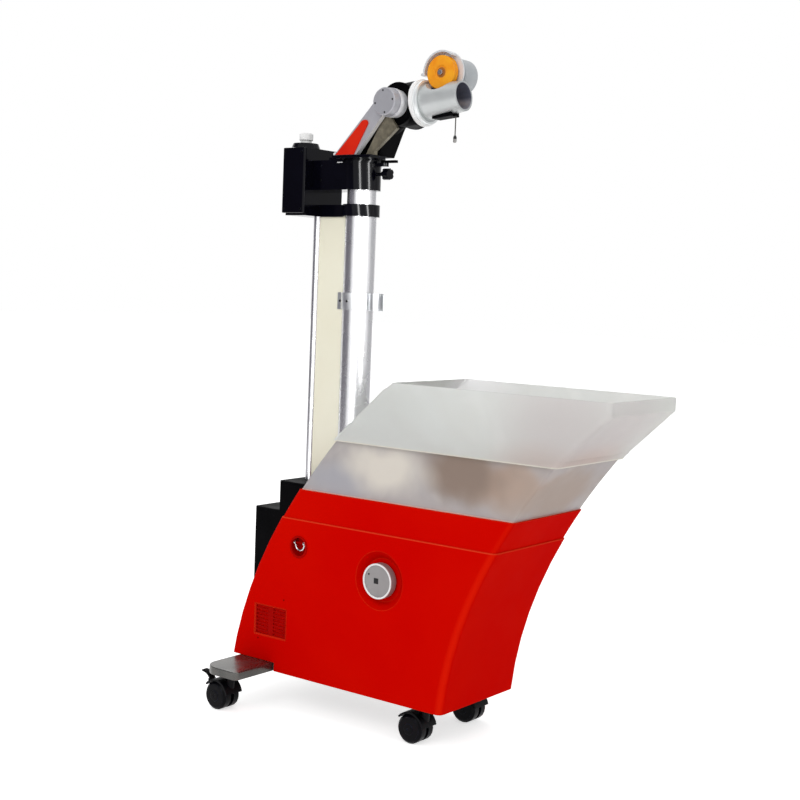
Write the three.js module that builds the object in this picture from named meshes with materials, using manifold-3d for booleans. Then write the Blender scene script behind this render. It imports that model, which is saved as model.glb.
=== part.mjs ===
// A free-standing table tennis robot: a leaning body with a ball hopper on casters, and a mast that lifts
// the balls to a throwing head. Millimetres, +Z up, +X the way the balls fly, +Y the machine's left.
// x starts at the front bottom edge of the body, y at its middle plane and z at the floor.
import * as THREE from "three";
import { mergeVertices } from "three/addons/utils/BufferGeometryUtils.js";
import Module from "manifold-3d";

const wasm = await Module();
wasm.setup();

// Shared fits and counts
const fit = 0.3;
const cutOverrun = 2;
const weldDistance = 0.0005;
const roundSides = 24;
const fineSides = 36;
const smallSides = 12;
const wheelSides = 20;
const hexSides = 6;
const arcSteps = 5;
const bendSteps = 6;
const cornerSteps = 3;
const plateCornerSteps = 2;

// Body shell, red band, tray and hood
const bodyWidth = 220;
const bodyLength = 474;
const floorClearance = 66;
const seamHeight = 280;
const bandHeight = 53;
const trayHeight = 97;
const hoodHeight = 104;
const hoodLipHeight = 22;
const frontLeanShare = 0.09;
const rearLeanShare = 0.16;
const hoodRearLeanShare = 1.17;
const hoodFrontLeanShare = 1.05;
const frontBendRadius = 581;
const rearBendRadius = 590;
const cornerRadius = 10;
const shellWall = 4;
const bandSetback = 2.5;
const bandWall = 3.5;
const trayWall = 2.7;
const trayPlugDepth = 14;
const hoodWall = 3;
const hoodOverlap = 8;
const hoodLedgeWidth = 4;
const hoodLedgeHeight = 3;
const hoodPlay = 0.4;

// Chassis
const barThickness = 15;
const rearBarWidth = 82;
const rearBarLength = 408;
const rearBarSetback = 24;
const rearBarRearCorner = 30;
const rearBarFrontCorner = 10;
const notchPlay = 2;
const frontBarWidth = 60;
const frontBarSetback = 23;
const basePlateThickness = 4;
const basePlateFrontSetback = 12;
const basePlateRearSetback = 16;

// Casters
const wheelRadius = 25;
const wheelWidth = 16;
const treadRound = 4;
const axleRadius = 4;
const casterTrail = 18;
const casterWebThickness = 7;
const casterWebRadius = 9;
const casterHoodPlay = 1.5;
const casterHoodWall = 3;
const casterHoodStart = 12;
const casterHoodEnd = 142;
const stemRadius = 8;
const stemPlateRadius = 17;
const stemPlateThickness = 4;
const stemPinRadius = 5;
const stemPinLength = 9;
const rearCasterInset = 32;
const rearCasterSetback = 62;
const frontCasterInset = 32;
const brakeLeverWidth = 12;
const brakeLeverThickness = 3.2;
const brakeLeverReach = 20;
const brakeLeverRise = 15;
const brakeLeverCurlShare = 0.25;
const brakeBossRadius = 4;

// Mast and rear column
const mastForward = 181;
const riserRadius = 27.75;
const riserWall = 1.7;
const innerTubeWall = 2.2;
const innerTubeOverlap = 40;
const columnRadius = 8.25;
const columnBehindMast = 99;
const webThickness = 10;
const mastChannelPlay = 3.5;
const ringClampBottom = 878;
const ringClampHeight = 21;
const ringClampWall = 5;
const ringClampLugWidth = 18;
const clipDrop = 164;
const clipHeight = 30;
const clipWall = 2.2;
const clipMouthRadius = 13;
const clipMouthGap = 14;
const clipTailLength = 13;
const clipTailGap = 3;
const clipScrewRadius = 2.2;

// Ball path inside the body
const ballBore = 22;
const bendWall = 3;
const ballBendSteps = 12;
const mastFoot = 200;
const bendReach = 151;
const bowlRadius = 84;
const bowlWall = 3;
const bowlDepth = 45;
const pocketReach = 52;
const pocketPlay = 0.5;
const funnelRise = 22;
const funnelReach = 260;
const turntableThickness = 13;
const turntablePockets = 5;
const turntablePlay = 3;
const turntableHubRadius = 20;
const turntableHubRise = 14;
const spindleRadius = 5;
const feedMotorRadius = 21;
const feedMotorLength = 46;
const liftWheelRadius = 30;
const liftWheelBite = 5.5;
const liftWheelWidth = 14;
const liftMotorRadius = 18;
const liftMotorLength = 40;
const liftShaftRadius = 4;
const socketDepth = 74;
const socketHeight = 50;
const socketLift = 15;
const socketLegThickness = 7;
const socketWall = 9;

// Control box
const controlWidth = 110;
const controlRearOverhang = 1;
const controlFrontGap = 19;
const controlStepDepth = 58;
const controlStepHeight = 279;
const controlPlay = 0.5;
const controlCorner = 5;

// Side panel details
const dialForward = 338;
const dialHeight = 267;
const dialRadius = 30;
const dialProud = 4;
const dialRim = 3;
const dialRimHeight = 1.6;
const dialMarkRadius = 1.8;
const dialMarkPlaceShares = [-0.7, 0.35];
const dialShaftRadius = 4;
const dialShaftLength = 14;
const dishRadius = 50;
const dishDepth = 12;
const dishFloorRadius = 37;
const dishRimWall = 4;
const dishSkin = 3;
const pullForward = 158;
const pullHeight = 298;
const pullCupRadius = 17.7;
const pullCupFlange = 19.5;
const pullCupDepth = 11;
const pullCupWall = 1.6;
const bailWidth = 24;
const bailDrop = 13;
const bailWireRadius = 1.7;
const bailSetback = 3;
const bailPinRadius = 1.2;
const bailBossRadius = 3.2;
const bailSteps = 10;
const bailSides = 3;
const bailTurnSteps = 4;
const ventForward = 96;
const ventHeight = 154;
const ventPaneWidth = 32;
const ventPaneHeight = 52;
const ventPaneGap = 8;
const ventBorder = 4;
const ventThickness = 2.4;
const ventSlats = 8;
const ventSlatShare = 0.45;
const ventRecess = 1.2;

// Gearbox behind the head
const gearboxDepth = 53;
const gearboxWidth = 108;
const gearboxHeight = 116;
const gearboxFrontGap = 89;
const gearboxPlateThickness = 4;
const gearboxPlateInset = 6;
const gearboxCorner = 4;
const capRadius = 26.5;
const capThickness = 9;
const capSideShift = 22;
const capKnobRadius = 12.5;
const capKnobHeight = 18;
const capKnobNeck = 10;
const capKnobNeckHeight = 4.5;
const capKnobFlareHeight = 6;
const capKnobEdge = 1.6;

// Collar and pan ring
const collarAboveClamp = 25;
const collarHeight = 52;
const collarRadius = 33;
const collarRimHeight = 5;
const collarRimProud = 2;
const bracketWidth = 60;
const panRingRadius = 40;
const panRingThickness = 5;
const panTabRear = 28;
const panTabReach = 52;
const panTabFront = 57;
const panTabInset = 10;
const panLeverReach = 58;
const panLeverWidth = 16;
const ballStudRadius = 4.5;
const ballStudHeight = 9;
const ballStudRiseShares = [0.25, 0.5, 0.75];
const wingShankRadius = 3;
const wingShankLength = 16;
const wingKnobRadius = 10;
const wingKnobLength = 13;
const wingFlutes = 5;
const wingFluteShare = 1.1;
const wingDrop = 24;
const lockBossRadius = 7;
const lockBossForward = 49;
const lockLeverLength = 26;
const lockLeverWidth = 7;
const lockLeverThickness = 4.3;
const lockLugThickness = 6;

// Arm, pivot and elbow
const pivotForward = 93;
const pivotAboveCollar = 91;
const restTiltDegrees = 5.5;
const elbowHalfWidth = 29;
const elbowRadius = 37;
const elbowNeckRadius = 39;
const flangeSetback = 31;
const flangeThickness = 7;
const flangeRadius = 39.5;
const lowerElbowRadius = 25.5;
const lowerElbowRise = 22;
const elbowFootRadius = 33;
const elbowFootHeight = 9;
const gussetHalfWidth = 22;
const gussetReach = 52;
const gussetTopReach = 71;
const gussetHeight = 44;
const entryUpDegrees = 30;
const entryDownDegrees = 20;
const armGap = 11;
const armThickness = 10;
const armEndRadius = 24.7;
const armBaseRear = 25;
const armBaseWidth = 49;
const armNeckOffset = 9.4;
const capPlateThickness = 15.5;
const pivotCapRadius = 23.5;
const pivotCapChamfer = 1.5;
const capScrewRadius = 1.9;
const capScrewDepth = 1.2;
const capScrewCircle = 18.5;
const capScrewTurnDegrees = 8;
const capScrews = 4;
const pivotPinRadius = 8;
const inlayThickness = 1.6;
const inlayMargin = 4;
const inlayHeight = 58;
const inlayTopWidth = 14;
const linkThickness = 7;
const linkGap = 2;
const linkBaseFront = 56;
const linkBaseWidth = 20;
const linkHeelRise = 6;
const linkNoseForward = 9;
const linkNoseDrop = 42;
const linkTopWidth = 9;

// Barrel, throwing wheel and motor
const barrelLength = 118;
const barrelMouthRadius = 25.4;
const barrelRootRadius = 30.5;
const barrelStepRadius = 37;
const barrelStepLength = 7;
const wheelForward = 76.7;
const wheelRise = 44.9;
const throwWheelRadius = 28.6;
const throwWheelWidth = 12;
const throwTreadDip = 1.2;
const throwHubRadius = 10;
const throwHubDip = 2;
const throwBoltRadius = 3;
const throwNutRadius = 5;
const throwNutHeight = 4;
const wheelPlay = 2.5;
const guardRadius = 37;
const guardWall = 3;
const guardGap = 3;
const guardFrontLip = 6;
const guardRimStart = 48;
const guardRimEnd = 180;
const guardOpenEnd = 270;
const guardTabLength = 4;
const guardTabThickness = 4;
const motorNeckRadius = 17;
const motorNeckLength = 16;
const motorRadius = 29.5;
const motorLength = 36;
const motorChamfer = 2.5;
const brakeBlockSetback = 60;
const brakeBlockLength = 39;
const brakeBlockWidth = 24;
const brakeBlockDrop = 2;
const cordGlandRadius = 3;
const cordGlandLength = 7;
const cordRadius = 1;
const cordLength = 31;
const cordSides = 8;
const tipRadius = 3;
const tipNeckRadius = 2;
const tipLength = 12;
const tipShoulder = 3;
const tipRound = 2;

const root = new THREE.Group();

// Solids
function solid(geometry) {
  geometry.deleteAttribute("normal");
  geometry.deleteAttribute("uv");
  const merged = mergeVertices(geometry, weldDistance);
  const index = merged.index.array;
  const kept = [];
  for (let i = 0; i < index.length; i += 3) {
    const [a, b, c] = [index[i], index[i + 1], index[i + 2]];
    if (a !== b && b !== c && c !== a) kept.push(a, b, c);
  }
  const vertProperties = merged.attributes.position.array;
  return new wasm.Manifold(new wasm.Mesh({ numProp: 3, vertProperties, triVerts: new Uint32Array(kept) }));
}

function join(first, ...others) {
  return others.reduce((sum, other) => sum.add(other), first);
}

function cut(first, ...others) {
  return others.reduce((rest, other) => rest.subtract(other), first);
}

function box([x0, x1], [y0, y1], [z0, z1]) {
  const geometry = new THREE.BoxGeometry(x1 - x0, y1 - y0, z1 - z0);
  geometry.translate((x0 + x1) / 2, (y0 + y1) / 2, (z0 + z1) / 2);
  return solid(geometry);
}

// A geometry made along Y is turned to its axis, then moved to its place beside that axis.
function place(geometry, axis, [a, b]) {
  if (axis === "x") geometry.rotateZ(-Math.PI / 2).translate(0, a, b);
  if (axis === "y") geometry.translate(a, 0, b);
  if (axis === "z") geometry.rotateX(Math.PI / 2).translate(a, b, 0);
  return geometry;
}

function rod(axis, radius, [from, to], centre = [0, 0], sides = roundSides, endRadius = radius) {
  const geometry = new THREE.CylinderGeometry(endRadius, radius, to - from, sides);
  geometry.translate(0, (from + to) / 2, 0);
  return solid(place(geometry, axis, centre));
}

// A closed profile of [radius, distance along the axis] turned round its axis.
function turned(axis, profile, centre = [0, 0], sides = roundSides) {
  const points = profile.map(([r, along]) => new THREE.Vector2(r, along));
  if (THREE.ShapeUtils.area(points) < 0) points.reverse();
  points.push(points[0].clone());
  return solid(place(new THREE.LatheGeometry(points, sides), axis, centre));
}

function shapeOf(points) {
  return new THREE.Shape(points.map(([a, b]) => new THREE.Vector2(a, b)));
}

function extrusion(length, bevel, curveSegments, bevelSegments) {
  const edge = { bevelSize: bevel, bevelThickness: bevel, bevelOffset: -bevel, bevelSegments };
  return { depth: length - 2 * bevel, bevelEnabled: bevel > 0, curveSegments, ...edge };
}

// An outline in x and z, extruded across the machine.
function sidePlate(shape, [y0, y1], bevel = 0) {
  const geometry = new THREE.ExtrudeGeometry(shape, extrusion(y1 - y0, bevel, arcSteps, cornerSteps));
  return solid(geometry.rotateX(Math.PI / 2).translate(0, y1 - bevel, 0));
}

// An outline in x and y, extruded upwards.
function flatPlate(shape, [z0, z1], bevel = 0) {
  const geometry = new THREE.ExtrudeGeometry(shape, extrusion(z1 - z0, bevel, cornerSteps, plateCornerSteps));
  return solid(geometry.translate(0, 0, z0 + bevel));
}

function pipe(curve, radius, steps, sides) {
  const circle = new THREE.Shape().absarc(0, 0, radius, 0, Math.PI * 2);
  const settings = { steps, curveSegments: sides, extrudePath: curve, bevelEnabled: false };
  return solid(new THREE.ExtrudeGeometry(circle, settings));
}

function roundedRectangle([x0, x1], [y0, y1], radius, radiusRight = radius) {
  const shape = new THREE.Shape();
  shape.moveTo(x0 + radius, y0);
  shape.lineTo(x1 - radiusRight, y0);
  shape.absarc(x1 - radiusRight, y0 + radiusRight, radiusRight, -Math.PI / 2, 0);
  shape.absarc(x1 - radiusRight, y1 - radiusRight, radiusRight, 0, Math.PI / 2);
  shape.absarc(x0 + radius, y1 - radius, radius, Math.PI / 2, Math.PI);
  shape.absarc(x0 + radius, y0 + radius, radius, Math.PI, Math.PI * 1.5);
  return shape;
}

function ringSector(inner, outer, startDegrees, endDegrees, [cx, cz] = [0, 0]) {
  const [start, end] = [startDegrees, endDegrees].map(THREE.MathUtils.degToRad);
  const shape = new THREE.Shape();
  shape.absarc(cx, cz, outer, start, end, false);
  shape.absarc(cx, cz, inner, end, start, true);
  return shape;
}

function piece(name, made, [color, roughness, metalness], group = root) {
  const data = made.getMesh();
  const geometry = new THREE.BufferGeometry();
  geometry.setAttribute("position", new THREE.BufferAttribute(data.vertProperties, data.numProp));
  geometry.setIndex(new THREE.BufferAttribute(data.triVerts, 1));
  const finish = { color, roughness, metalness, flatShading: true };
  const mesh = new THREE.Mesh(geometry, new THREE.MeshStandardMaterial(finish));
  mesh.name = name;
  group.add(mesh);
}

// Finishes: colour, roughness and metalness
const redPaint = [0xcb0c02, 0.35, 0];
const darkRed = [0x960400, 0.5, 0];
const blackGloss = [0x0b0b0d, 0.25, 0];
const blackPlastic = [0x121213, 0.5, 0];
const blackRubber = [0x18181a, 0.8, 0];
const frosted = [0xd7d9d4, 0.45, 0];
const clearTray = [0xb4aaa2, 0.3, 0];
const castGrey = [0x6e706c, 0.45, 0.8];
const silver = [0xc8c9cb, 0.35, 0.9];
const polished = [0xe2e3e5, 0.2, 0.95];
const cream = [0xece9d6, 0.6, 0];
const whitePlastic = [0xf1f1ee, 0.4, 0];
const inlayRed = [0xdc2300, 0.4, 0];
const taupe = [0x968f82, 0.45, 0.5];
const wheelOrange = [0xf5960a, 0.45, 0];
const steel = [0x9a9ca0, 0.4, 0.9];

// Shared heights and places
const seam = floorClearance + seamHeight;
const bandTop = seam + bandHeight;
const rim = bandTop + trayHeight;
const hoodTop = rim + hoodHeight;
const lipBottom = hoodTop - hoodLipHeight;
const hoodBottom = rim - hoodOverlap / 2;
const trayTop = rim + hoodOverlap / 2;
const barTop = floorClearance + barThickness;
const plateTop = barTop + basePlateThickness;
const mastX = mastForward - bodyLength;
const halfWidth = bodyWidth / 2;
const reach = bodyLength + bodyWidth;
const across = [-bodyWidth, bodyWidth];
const innerTubeRadius = riserRadius - riserWall - fit;
const riserTop = ringClampBottom + ringClampHeight;
const clipBottom = ringClampBottom - clipDrop;
const collarBottom = riserTop + collarAboveClamp;
const collarTop = collarBottom + collarHeight;
const pivotHeight = collarTop + pivotAboveCollar;

function frontAt(z) {
  const h = z - floorClearance;
  return frontLeanShare * h + (h * h) / (2 * frontBendRadius);
}

function rearAt(z) {
  const h = z - floorClearance;
  return rearLeanShare * h + (h * h) / (2 * rearBendRadius) - bodyLength;
}

function hoodFrontAt(z) {
  if (z < trayTop) return frontAt(z);
  return frontAt(trayTop) + (Math.min(z, lipBottom) - trayTop) * hoodFrontLeanShare;
}

function hoodRearAt(z) {
  if (z < trayTop) return rearAt(z);
  return rearAt(trayTop) + (z - trayTop) * hoodRearLeanShare;
}

function levels(low, high) {
  return Array.from({ length: bendSteps + 1 }, (_, i) => low + ((high - low) * i) / bendSteps);
}

// The body's leaning block between two heights, its upright corners rounded, drawn in on every side.
// The outline runs past both heights by more than its rounding, so that the cut ends are true.
function leaning([low, high], inset, sides = { rear: rearAt, front: frontAt, bends: levels(low, high) }) {
  const round = Math.max(cornerRadius - inset, fit);
  const margin = round * 2 + cutOverrun;
  const between = sides.bends.filter((z) => z >= low && z <= high);
  const heights = [low - margin, ...between, high + margin];
  const rearEdge = heights.map((z) => [sides.rear(z) + inset, z]);
  const frontEdge = heights.map((z) => [sides.front(z) - inset, z]).reverse();
  const half = halfWidth - inset;
  const whole = sidePlate(shapeOf([...rearEdge, ...frontEdge]), [-half, half], round);
  return whole.intersect(box([-reach, reach], across, [low, high]));
}

// Side panel features face the machine's right, on the plane y = -halfWidth.
const panelY = -halfWidth;
const dialCentre = [dialForward - bodyLength, dialHeight];
const pullCentre = [pullForward - bodyLength, pullHeight];
const ventCentre = [ventForward - bodyLength, ventHeight];
const ventWidth = ventPaneWidth * 2 + ventPaneGap;
const dishFloor = panelY + dishDepth;
const controlHalf = controlWidth / 2;
const controlFront = mastX - riserRadius - controlFrontGap;

function ventOpening(border, [y0, y1]) {
  const [cx, cz] = ventCentre;
  const xs = [cx - ventWidth / 2 - border, cx + ventWidth / 2 + border];
  const zs = [cz - ventPaneHeight / 2 - border, cz + ventPaneHeight / 2 + border];
  return box(xs, [y0, y1], zs);
}

// The control box stands in an opening of the rear walls.
function controlOpening(span) {
  const half = controlHalf + controlPlay;
  return box([-reach, controlFront + controlPlay], [-half, half], span);
}

function bodyShell() {
  const outside = leaning([floorClearance, seam], 0);
  const hollow = leaning([floorClearance - cutOverrun, seam + cutOverrun], shellWall);
  const cupSpan = [panelY + shellWall / 2, dishFloor + dishSkin];
  const dishCup = rod("y", dishRadius + dishRimWall, cupSpan, dialCentre);
  const outer = panelY - cutOverrun;
  const dishSide = [[dishFloorRadius, dishFloor], [dishRadius, panelY], [dishRadius, outer]];
  const dishCut = turned("y", [[0, dishFloor], ...dishSide, [0, outer]], dialCentre, fineSides);
  const shaftSpan = [panelY, dishFloor + dishSkin + cutOverrun];
  const shaftHole = rod("y", dialShaftRadius + fit, shaftSpan, dialCentre, smallSides);
  const wallSpan = [outer, panelY + shellWall + cutOverrun];
  const cupHole = rod("y", pullCupRadius + fit, wallSpan, pullCentre);
  const notchFront = rearBarSetback + rearBarWidth + notchPlay - bodyLength;
  const notch = box([-reach, notchFront], across, [0, barTop + fit]);
  const window = ventOpening(0, wallSpan);
  const recess = ventOpening(ventBorder / 2, [outer, panelY + ventRecess]);
  const rearOpening = controlOpening([0, seam + cutOverrun]);
  const walls = join(cut(outside, hollow), dishCup.intersect(outside));
  return cut(walls, dishCut, shaftHole, cupHole, notch, rearOpening, window, recess);
}

function bodyBand() {
  const outside = leaning([seam, bandTop], bandSetback);
  const hollow = leaning([seam - cutOverrun, bandTop + cutOverrun], bandSetback + bandWall);
  return cut(outside, hollow, controlOpening([0, rim]));
}

const trayInset = bandSetback + bandWall + fit;
const channelFront = mastX + riserRadius + mastChannelPlay;
const channelHalf = riserRadius + mastChannelPlay;
const bowlX = mastX + bendReach + pocketReach;
const trayFloor = bandTop - trayPlugDepth;

function mastChannel(wall, [low, high]) {
  return box([-reach, channelFront + wall], [-channelHalf - wall, channelHalf + wall], [low, high]);
}

// The tray stands back from the hood's wall by the hood's play, so its rim slips inside the hood's skirt.
function rimCut() {
  const span = [hoodBottom - cutOverrun, trayTop + cutOverrun];
  return cut(box([-reach, reach], across, span), leaning(span, hoodWall + hoodPlay));
}

function hopperTray() {
  const past = [trayFloor - cutOverrun, trayTop + cutOverrun];
  const hollow = cut(leaning(past, trayInset + trayWall), mastChannel(trayWall, past));
  const walls = cut(leaning([trayFloor, trayTop], trayInset), hollow);
  return cut(walls, mastChannel(0, past), rimCut());
}

// A shallow cone inside the tray leads the balls to the bowl and rests on the bowl's rim.
function hopperFunnel() {
  const inner = bowlRadius - bowlWall;
  const high = trayFloor + funnelRise;
  const top = [[funnelReach, high], [funnelReach, high + trayWall]];
  const cone = turned("z", [[inner, trayFloor], ...top, [inner, trayFloor + trayWall]], [bowlX, 0]);
  const room = leaning([trayFloor, trayTop], trayInset + trayWall + fit);
  return cut(cone.intersect(room), mastChannel(trayWall + fit, [trayFloor - cutOverrun, trayTop]));
}

function hopperHood() {
  const sides = { rear: hoodRearAt, front: hoodFrontAt, bends: [trayTop, lipBottom] };
  const outside = leaning([hoodBottom, hoodTop], 0, sides);
  const hollow = leaning([hoodBottom - cutOverrun, hoodTop + cutOverrun], hoodWall, sides);
  const ledgeSpan = [trayTop + fit, trayTop + fit + hoodLedgeHeight];
  const insideSpan = [ledgeSpan[0] - cutOverrun, ledgeSpan[1] + cutOverrun];
  const inside = leaning(insideSpan, hoodWall + hoodLedgeWidth, sides);
  const ledge = cut(leaning(ledgeSpan, hoodWall / 2, sides), inside);
  return join(cut(outside, hollow), ledge);
}

piece("body_shell", bodyShell(), redPaint);
piece("body_band", bodyBand(), redPaint);
piece("hopper_tray", hopperTray(), clearTray);
piece("hopper_funnel", hopperFunnel(), clearTray);
piece("hopper_hood", hopperHood(), frosted);

// Chassis
const rearBarX = [rearBarSetback - bodyLength, rearBarSetback + rearBarWidth - bodyLength];
const rearCasterX = rearCasterSetback - bodyLength;
const rearCasterY = rearBarLength / 2 - rearCasterInset;
const frontBarX = [-frontBarSetback - frontBarWidth, -frontBarSetback];
const frontCasterX = (frontBarX[0] + frontBarX[1]) / 2;
const frontCasterY = halfWidth - frontCasterInset;

function stemHoles(x, y) {
  const span = [floorClearance - cutOverrun, floorClearance + stemPinLength + fit];
  return [-y, y].map((side) => rod("z", stemPinRadius + fit, span, [x, side], smallSides));
}

function rearCrossbar() {
  const half = rearBarLength / 2;
  const shape = roundedRectangle(rearBarX, [-half, half], rearBarRearCorner, rearBarFrontCorner);
  return cut(flatPlate(shape, [floorClearance, barTop], notchPlay), ...stemHoles(rearCasterX, rearCasterY));
}

function frontCrossbar() {
  const half = halfWidth - shellWall - rearBarFrontCorner / 2;
  const bar = box(frontBarX, [-half, half], [floorClearance, barTop]);
  return cut(bar, ...stemHoles(frontCasterX, frontCasterY));
}

function basePlate() {
  const half = halfWidth - shellWall - fit;
  const xs = [basePlateRearSetback - bodyLength, -basePlateFrontSetback];
  return box(xs, [-half, half], [barTop, plateTop]);
}

function controlBox() {
  const rear = -bodyLength - controlRearOverhang;
  const step = rear + controlStepDepth;
  const shoulder = floorClearance + controlStepHeight;
  const rearSide = [[rear, plateTop], [rear, shoulder], [step, shoulder], [step, bandTop]];
  const shape = shapeOf([...rearSide, [controlFront, bandTop], [controlFront, plateTop]]);
  const whole = sidePlate(shape, [-controlHalf, controlHalf], controlCorner);
  const footX = [rear + controlCorner, controlFront - controlCorner];
  const footHalf = controlHalf - controlCorner;
  const foot = box(footX, [-footHalf, footHalf], [plateTop, shoulder - controlCorner]);
  return join(whole, foot);
}

piece("rear_crossbar", rearCrossbar(), castGrey);
piece("front_crossbar", frontCrossbar(), castGrey);
piece("base_plate", basePlate(), steel);
piece("control_box", controlBox(), blackPlastic);

// Casters: local origin on the floor below the swivel stem, wheels trailing along -x
function casterFork() {
  const axle = [-casterTrail, wheelRadius];
  const hoodInner = wheelRadius + casterHoodPlay;
  const hoodOuter = hoodInner + casterHoodWall;
  const halfHood = casterWebThickness / 2 + wheelWidth + fit;
  const halfWeb = casterWebThickness / 2;
  const arc = [casterHoodStart, casterHoodEnd, axle];
  const hoodMiddle = hoodInner + casterHoodWall / 2;
  const hood = sidePlate(ringSector(hoodInner, hoodOuter, ...arc), [-halfHood, halfHood]);
  const web = sidePlate(ringSector(casterWebRadius / 2, hoodMiddle, ...arc), [-halfWeb, halfWeb]);
  const hub = rod("y", casterWebRadius, [-halfWeb, halfWeb], axle, smallSides);
  const plateBottom = floorClearance - fit - stemPlateThickness;
  const stem = rod("z", stemRadius, [wheelRadius, plateBottom + stemPlateThickness / 2], [0, 0], smallSides);
  const plate = rod("z", stemPlateRadius, [plateBottom, floorClearance - fit], [0, 0], wheelSides);
  const pin = rod("z", stemPinRadius, [plateBottom, floorClearance + stemPinLength], [0, 0], smallSides);
  const underHood = rod("y", hoodMiddle, across, axle, wheelSides);
  const axleHole = rod("y", axleRadius + fit, across, axle, smallSides);
  return cut(join(cut(join(stem, plate, pin), underHood), hood, web, hub), axleHole);
}

function casterWheels() {
  const inner = casterWebThickness / 2 + fit;
  const outer = inner + wheelWidth;
  const half = [
    [axleRadius, inner],
    [wheelRadius, inner],
    [wheelRadius, outer - treadRound],
    [wheelRadius - treadRound, outer],
    [0, outer],
  ];
  const mirrored = half.map(([r, y]) => [r, -y]).reverse();
  return turned("y", [...mirrored, ...half], [-casterTrail, wheelRadius], wheelSides);
}

// The brake pedal hangs on the rear end of the caster's hood and curls up behind it.
function brakeLever() {
  const angle = THREE.MathUtils.degToRad(casterHoodEnd);
  const seat = wheelRadius + casterHoodPlay + casterHoodWall + brakeBossRadius + fit;
  const [bx, bz] = [seat * Math.cos(angle) - casterTrail, seat * Math.sin(angle) + wheelRadius];
  const boss = rod("y", brakeBossRadius, [-brakeLeverWidth / 2, brakeLeverWidth / 2], [bx, bz], smallSides);
  const [tipX, tipZ] = [bx - brakeLeverReach, bz + brakeLeverRise];
  const under = tipZ - brakeLeverThickness;
  const curl = bx - brakeLeverReach * brakeLeverCurlShare;
  const shape = new THREE.Shape();
  shape.moveTo(bx, bz - brakeLeverThickness / 2);
  shape.quadraticCurveTo(curl, under, tipX, under);
  shape.lineTo(tipX, tipZ);
  shape.quadraticCurveTo(curl + brakeLeverThickness, tipZ, bx + brakeLeverThickness, bz);
  return join(boss, sidePlate(shape, [-brakeLeverWidth / 2, brakeLeverWidth / 2]));
}

const casterPlaces = [
  ["rear_right", rearCasterX, -rearCasterY],
  ["rear_left", rearCasterX, rearCasterY],
  ["front_right", frontCasterX, -frontCasterY],
  ["front_left", frontCasterX, frontCasterY],
];
for (const [label, x, y] of casterPlaces) {
  const caster = new THREE.Group();
  caster.position.set(x, y, 0);
  root.add(caster);
  piece("caster_fork_" + label, casterFork(), blackPlastic, caster);
  piece("caster_wheels_" + label, casterWheels(), blackRubber, caster);
  if (label.startsWith("rear")) piece("brake_lever_" + label, brakeLever(), blackPlastic, caster);
}

// Side panel
function dialKnob() {
  const face = panelY - dialProud;
  const back = dishFloor - fit;
  const grip = dialRadius - dialRim;
  const profile = [
    [0, face],
    [grip, face],
    [grip, face - dialRimHeight],
    [dialRadius, face - dialRimHeight],
    [dialRadius, back - dialRim],
    [grip, back],
    [0, back],
  ];
  const markPlace = dialMarkPlaceShares.map((share, i) => dialCentre[i] + grip * share);
  const mark = rod("y", dialMarkRadius, [face - cutOverrun, face + dialRimHeight], markPlace, smallSides);
  const shaft = rod("y", dialShaftRadius, [face + dialProud, back + dialShaftLength], dialCentre, smallSides);
  return join(cut(turned("y", profile, dialCentre, fineSides), mark), shaft);
}

const bailAxis = [panelY + bailSetback, pullCentre[1] + bailDrop / 2];

function pullCup() {
  const bottom = panelY + pullCupDepth;
  const lip = panelY - pullCupWall;
  const profile = [
    [0, bottom - pullCupWall],
    [pullCupRadius - pullCupWall, bottom - pullCupWall],
    [pullCupRadius - pullCupWall, lip],
    [pullCupFlange, lip],
    [pullCupFlange, panelY - fit],
    [pullCupRadius, panelY - fit],
    [pullCupRadius, bottom],
    [0, bottom],
  ];
  const reach = Math.sqrt((pullCupRadius - pullCupWall / 2) ** 2 - (bailDrop / 2) ** 2);
  const pin = rod("x", bailPinRadius, [pullCentre[0] - reach, pullCentre[0] + reach], bailAxis, cordSides);
  return join(turned("y", profile, pullCentre), pin);
}

// The bail is a bent wire: an eye at each end on the cup's pin and a round loop hanging below it.
function pullBail() {
  const cx = pullCentre[0];
  const [y, top] = bailAxis;
  const half = bailWidth / 2 - bailWireRadius;
  const low = top - bailDrop + half;
  const path = new THREE.CurvePath();
  path.add(new THREE.LineCurve3(new THREE.Vector3(cx - half, y, top), new THREE.Vector3(cx - half, y, low)));
  const turn = Array.from({ length: bailTurnSteps + 1 }, (_, i) => {
    const angle = Math.PI + (Math.PI * i) / bailTurnSteps;
    return new THREE.Vector3(cx + half * Math.cos(angle), y, low + half * Math.sin(angle));
  });
  path.add(new THREE.CatmullRomCurve3(turn));
  path.add(new THREE.LineCurve3(new THREE.Vector3(cx + half, y, low), new THREE.Vector3(cx + half, y, top)));
  const eyes = [-half, half].map((side) => {
    const span = [cx + side - bailWireRadius, cx + side + bailWireRadius];
    return rod("x", bailBossRadius, span, bailAxis, smallSides);
  });
  const pinHole = rod("x", bailPinRadius + fit, [cx - bailWidth, cx + bailWidth], bailAxis, cordSides);
  return cut(join(pipe(path, bailWireRadius, bailSteps, bailSides), ...eyes), pinHole);
}

function ventGrille() {
  const front = panelY + ventRecess;
  const grille = ventOpening(-fit, [front, front + ventThickness]);
  const pitch = ventPaneHeight / ventSlats;
  const [cx, cz] = ventCentre;
  const slots = [];
  for (let row = 0; row < ventSlats; row++) {
    const low = cz - ventPaneHeight / 2 + pitch * (row + ventSlatShare / 2);
    const zs = [low, low + pitch * (1 - ventSlatShare)];
    for (const side of [-1, 1]) {
      const middle = cx + (side * (ventPaneWidth + ventPaneGap)) / 2;
      const half = ventPaneWidth / 2 - ventBorder / 2;
      slots.push(box([middle - half, middle + half], [panelY, panelY + shellWall + cutOverrun], zs));
    }
  }
  return cut(grille, ...slots);
}

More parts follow.
